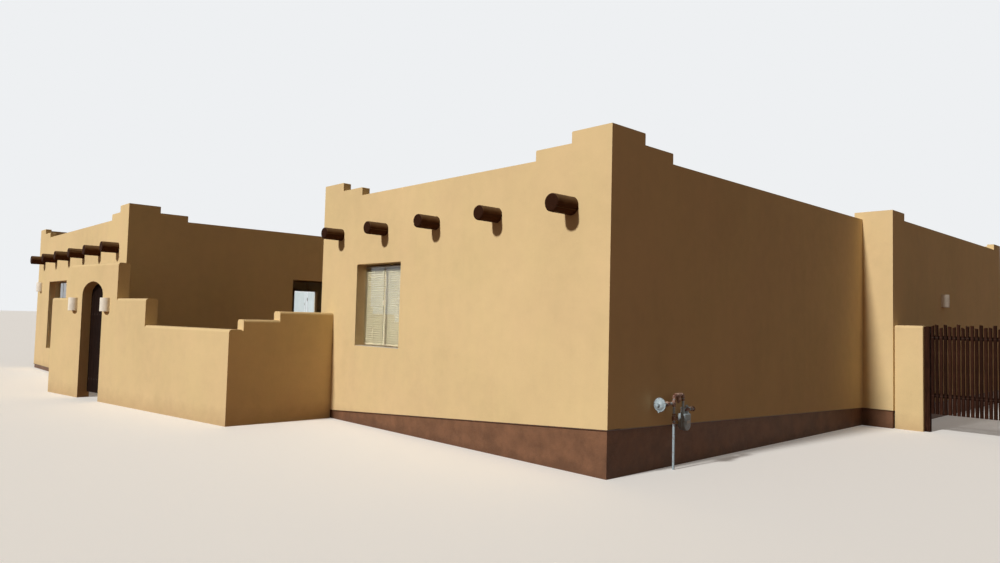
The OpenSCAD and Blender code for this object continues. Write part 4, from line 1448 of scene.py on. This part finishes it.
class ADOBE_OT_gas_set(bpy.types.Operator):
    """Gas meter set on the near side wall"""
    bl_idname = "adobe.gas_set"
    bl_label = "Gas meter set"

    def execute(self, context):
        for name, shape, finish, nodes in (
                ("gas_regulator_body", regulator, "gas", ("gas_regulator",)),
                ("gas_pipe_runs", gas_pipes, "gas", ("gas_riser",)),
                ("gas_fittings", gas_fittings, "rusty", ()),
                ("gas_meter_case", meter_body, "gas", ("gas_meter",)),
                ("gas_meter_dials", meter_dials, "dial", ())):
            finish_piece(name, shape(), finish, "gas_paint", replaces=nodes)
        return {"FINISHED"}


# ---- yard fence ---------------------------------------------------------

FENCE = Sizes(x=1.23, y=9.62, bay=1.6, post=0.11, pole=0.076, top=1.66,
              foot=-0.30, bays=2, rail_in=0.35, rail_thick=0.040,
              rail_high=0.090)
RAILS = (FENCE.foot + FENCE.rail_in, FENCE.top - FENCE.rail_in)


def fence_pole(height, radius, chance):
    """Crooked thin pole on its own upright, its top cut aslant."""
    bm = drum(radius, height, 12, 0.94, moved(0, 0, height / 2))
    divide_length(bm, height, 7)
    shift = Vector((chance.uniform(0, 90),) * 3)
    lean = chance.uniform(-0.5, 0.5)
    for vert in bm.verts:
        x, y, z = vert.co
        wave = noise.noise(Vector((x * 30, y * 30, z * 2.2)) + shift)
        squeeze = 1.0 + 0.10 * (wave - 0.3)
        drift = 0.004 * noise.noise(Vector((3.3, z * 1.4, 0)) + shift)
        if z > height - 0.001:
            z += x * lean
        vert.co = (x * squeeze + drift, y * squeeze + drift, z)
    return bm


def fence_parts():
    """Poles, posts and rails of the fence bays, and their wire ties."""
    chance = Random(71)
    wood, ties = [], []
    bay, post, pole = FENCE.bay, FENCE.post, FENCE.pole
    count = int((bay - post) / (pole + 0.004))
    gap = (bay - post) / count
    origin = Vector((FENCE.x, FENCE.y, 0))

    def lay(part, spot):
        part = keep_grain(part, moved(*(HOUSE + spot)))
        layer = part.verts.layers.float.new("tint")
        value = chance.random()
        for vert in part.verts:
            vert[layer] = value
        wood.append(part)
    for i in range(FENCE.bays):
        start = origin + Vector((i * bay, 0, 0))
        post_high = BASE_DROP + FENCE.top - 0.06
        for end in range(2 if i == FENCE.bays - 1 else 1):
            lay(block((post, post, post_high), (0, -post / 2, 0), 0.008),
                start + Vector((end * bay, 0, -BASE_DROP)))
        for z in RAILS:
            lay(block((bay - post + 0.002, FENCE.rail_thick, FENCE.rail_high),
                      (post - 0.001, pole / 2 - 0.012, 0), 0.006),
                start + Vector((0, 0, z)))
        for k in range(count):
            wave = 0.04 * math.sin(math.radians(k * 137)) - 0.04
            height = FENCE.top - FENCE.foot + wave - 0.012
            radius = pole / 2 * chance.uniform(0.95, 1.02)
            spot = start + Vector((post + (k + 0.5) * gap, 0, FENCE.foot))
            lay(fence_pole(height, radius, chance), spot)
            for z in RAILS:
                up = z + FENCE.rail_high / 2 - FENCE.foot
                ties.append(rod(pole / 2 + 0.0015, 0.0024, sides=14,
                                at=HOUSE + spot + Vector((0, 0, up))))
    return gather(wood), gather(ties)


class ADOBE_OT_yard_fence(bpy.types.Operator):
    """Fence of peeled poles wired to two rails"""
    bl_idname = "adobe.yard_fence"
    bl_label = "Yard fence"

    def execute(self, context):
        poles, ties = fence_parts()
        finish_piece("fence_poles", poles, "pole", "fence_pole",
                     replaces=("yard_fence",), sharp=50)
        finish_piece("fence_wire_ties", ties, "wire", "iron", even=False)
        return {"FINISHED"}


# ---- stage --------------------------------------------------------------

EYE = Vector((6.42973, -8.21405, 1.53670))
YAW, PITCH, ROLL = 0.8148295, 0.0510692, 0.0249764
FOCAL_PX, IMAGE_PX, SENSOR = 724.222, 1000.0, 36.0
FLOOR_RADIUS, FLOOR_SIDES = 420.0, 96
SKY, FILL_COLOUR = tone(238, 240, 242), (1.0, 0.80, 0.64, 1.0)
GROUND_LIGHT, FLOOR_GLOW = tone(114, 74, 48), 0.14


def camera_turn():
    """Upright camera axes turned by yaw, pitch and roll."""
    ahead = Vector((-math.sin(YAW) * math.cos(PITCH),
                    math.cos(YAW) * math.cos(PITCH), math.sin(PITCH)))
    flat = Vector((math.cos(YAW), math.sin(YAW), 0.0))
    over = flat.cross(ahead)
    right = flat * math.cos(ROLL) + over * math.sin(ROLL)
    up = over * math.cos(ROLL) - flat * math.sin(ROLL)
    return Matrix((right, up, -ahead)).transposed().to_4x4()


def seen(tree):
    """1 for a ray that shows a thing itself, 0 for one that lights others."""
    path = add_node(tree, "LightPath").outputs

    def reckon(kind, first, second):
        return add_node(tree, "Math", {0: first, 1: second},
                        operation=kind).outputs[0]
    value = path["Is Camera Ray"]
    for kind in ("Is Glossy Ray", "Is Transmission Ray"):
        value = reckon("MAXIMUM", value, path[kind])
    return reckon("MULTIPLY", value,
                  reckon("LESS_THAN", path["Diffuse Depth"], 0.5))


def stage_floor(colour):
    """Large pale floor that gives back a duller light than it shows."""
    bm = bmesh.new()
    bmesh.ops.create_circle(bm, cap_ends=True, segments=FLOOR_SIDES,
                            radius=FLOOR_RADIUS)
    floor = as_object("stage_floor", bm)
    f = Finish("stage_floor", Roughness=0.95, Specular_IOR_Level=0.1,
               Emission_Color=tuple(colour))
    shown = seen(f.tree)
    for value, socket in (
            (f.mix(shown, GROUND_LIGHT, tuple(colour)), "Base Color"),
            (f.sum((shown, FLOOR_GLOW)), "Emission Strength")):
        f.tree.links.new(value, f.shader.inputs[socket])
    floor.data.materials.append(f.material)


def stage_world(fill):
    """Dim warm fill light that is seen as a pale sky."""
    world = bpy.data.worlds.new("stage_world")
    world.use_nodes = True
    tree = world.node_tree
    tree.nodes.clear()
    mix = {0: seen(tree)}
    for slot, colour, strength in ((1, FILL_COLOUR, fill), (2, SKY, 1.0)):
        mix[slot] = add_node(tree, "Background", {
            "Color": colour, "Strength": strength}).outputs[0]
    both = add_node(tree, "MixShader", mix).outputs[0]
    add_node(tree, "OutputWorld", {"Surface": both})
    bpy.context.scene.world = world


class ADOBE_OT_stage(bpy.types.Operator):
    """Pale floor, soft light and the camera at the picture's view"""
    bl_idname = "adobe.stage"
    bl_label = "Stage"

    def execute(self, context):
        scene = context.scene
        stage = scene.adobe.stage
        stage_floor(stage.floor)
        stage_world(stage.fill)
        sun = bpy.data.lights.new("key", "SUN")
        sun.energy, sun.angle = stage.key, math.radians(4.0)
        sun.color = (1.0, 0.99, 0.965)
        key = bpy.data.objects.new("key", sun)
        travel = Vector((0.05, 1.0, -math.tan(stage.height)))
        key.rotation_euler = travel.to_track_quat("-Z", "Y").to_euler()
        key.location = HOUSE + Vector((0, -20, 20))
        lens = bpy.data.cameras.new("picture_view")
        lens.sensor_fit, lens.sensor_width = "HORIZONTAL", SENSOR
        lens.lens = FOCAL_PX / IMAGE_PX * SENSOR
        lens.clip_start, lens.clip_end = 0.1, 1500.0
        camera = bpy.data.objects.new("picture_view", lens)
        camera.matrix_world = Matrix.Translation(HOUSE + EYE) @ camera_turn()
        for thing in (key, camera):
            scene.collection.objects.link(thing)
        scene.camera = camera
        scene.view_settings.view_transform = "Standard"
        return {"FINISHED"}


# ---- add-on -------------------------------------------------------------

OPERATORS = (
    ADOBE_OT_house_walls, ADOBE_OT_garden_walls, ADOBE_OT_drip_edge,
    ADOBE_OT_roof_logs, ADOBE_OT_front_window, ADOBE_OT_plain_windows,
    ADOBE_OT_garden_door, ADOBE_OT_house_doors, ADOBE_OT_gate,
    ADOBE_OT_wall_lights, ADOBE_OT_gas_set, ADOBE_OT_yard_fence,
    ADOBE_OT_stage)


class ADOBE_PT_pieces(bpy.types.Panel):
    """Lists the operators that build the house"""
    bl_idname = "ADOBE_PT_pieces"
    bl_label = "Adobe house"
    bl_space_type = "VIEW_3D"
    bl_region_type = "UI"
    bl_category = "Adobe"

    def draw(self, context):
        for operator in OPERATORS:
            self.layout.operator(operator.bl_idname)


CLASSES = (WallSettings, RoofSettings, OpeningSettings, GateSettings,
           YardSettings, StageSettings, AdobeSettings, *OPERATORS,
           ADOBE_PT_pieces)


def register():
    for cls in CLASSES:
        bpy.utils.register_class(cls)
    bpy.types.Scene.adobe = PointerProperty(type=AdobeSettings)


def unregister():
    del bpy.types.Scene.adobe
    for cls in reversed(CLASSES):
        bpy.utils.unregister_class(cls)


def main():
    register()
    for operator in OPERATORS:
        group, name = operator.bl_idname.split(".")
        getattr(getattr(bpy.ops, group), name)()
    bpy.context.view_layer.update()


if __name__ == "__main__":
    main()
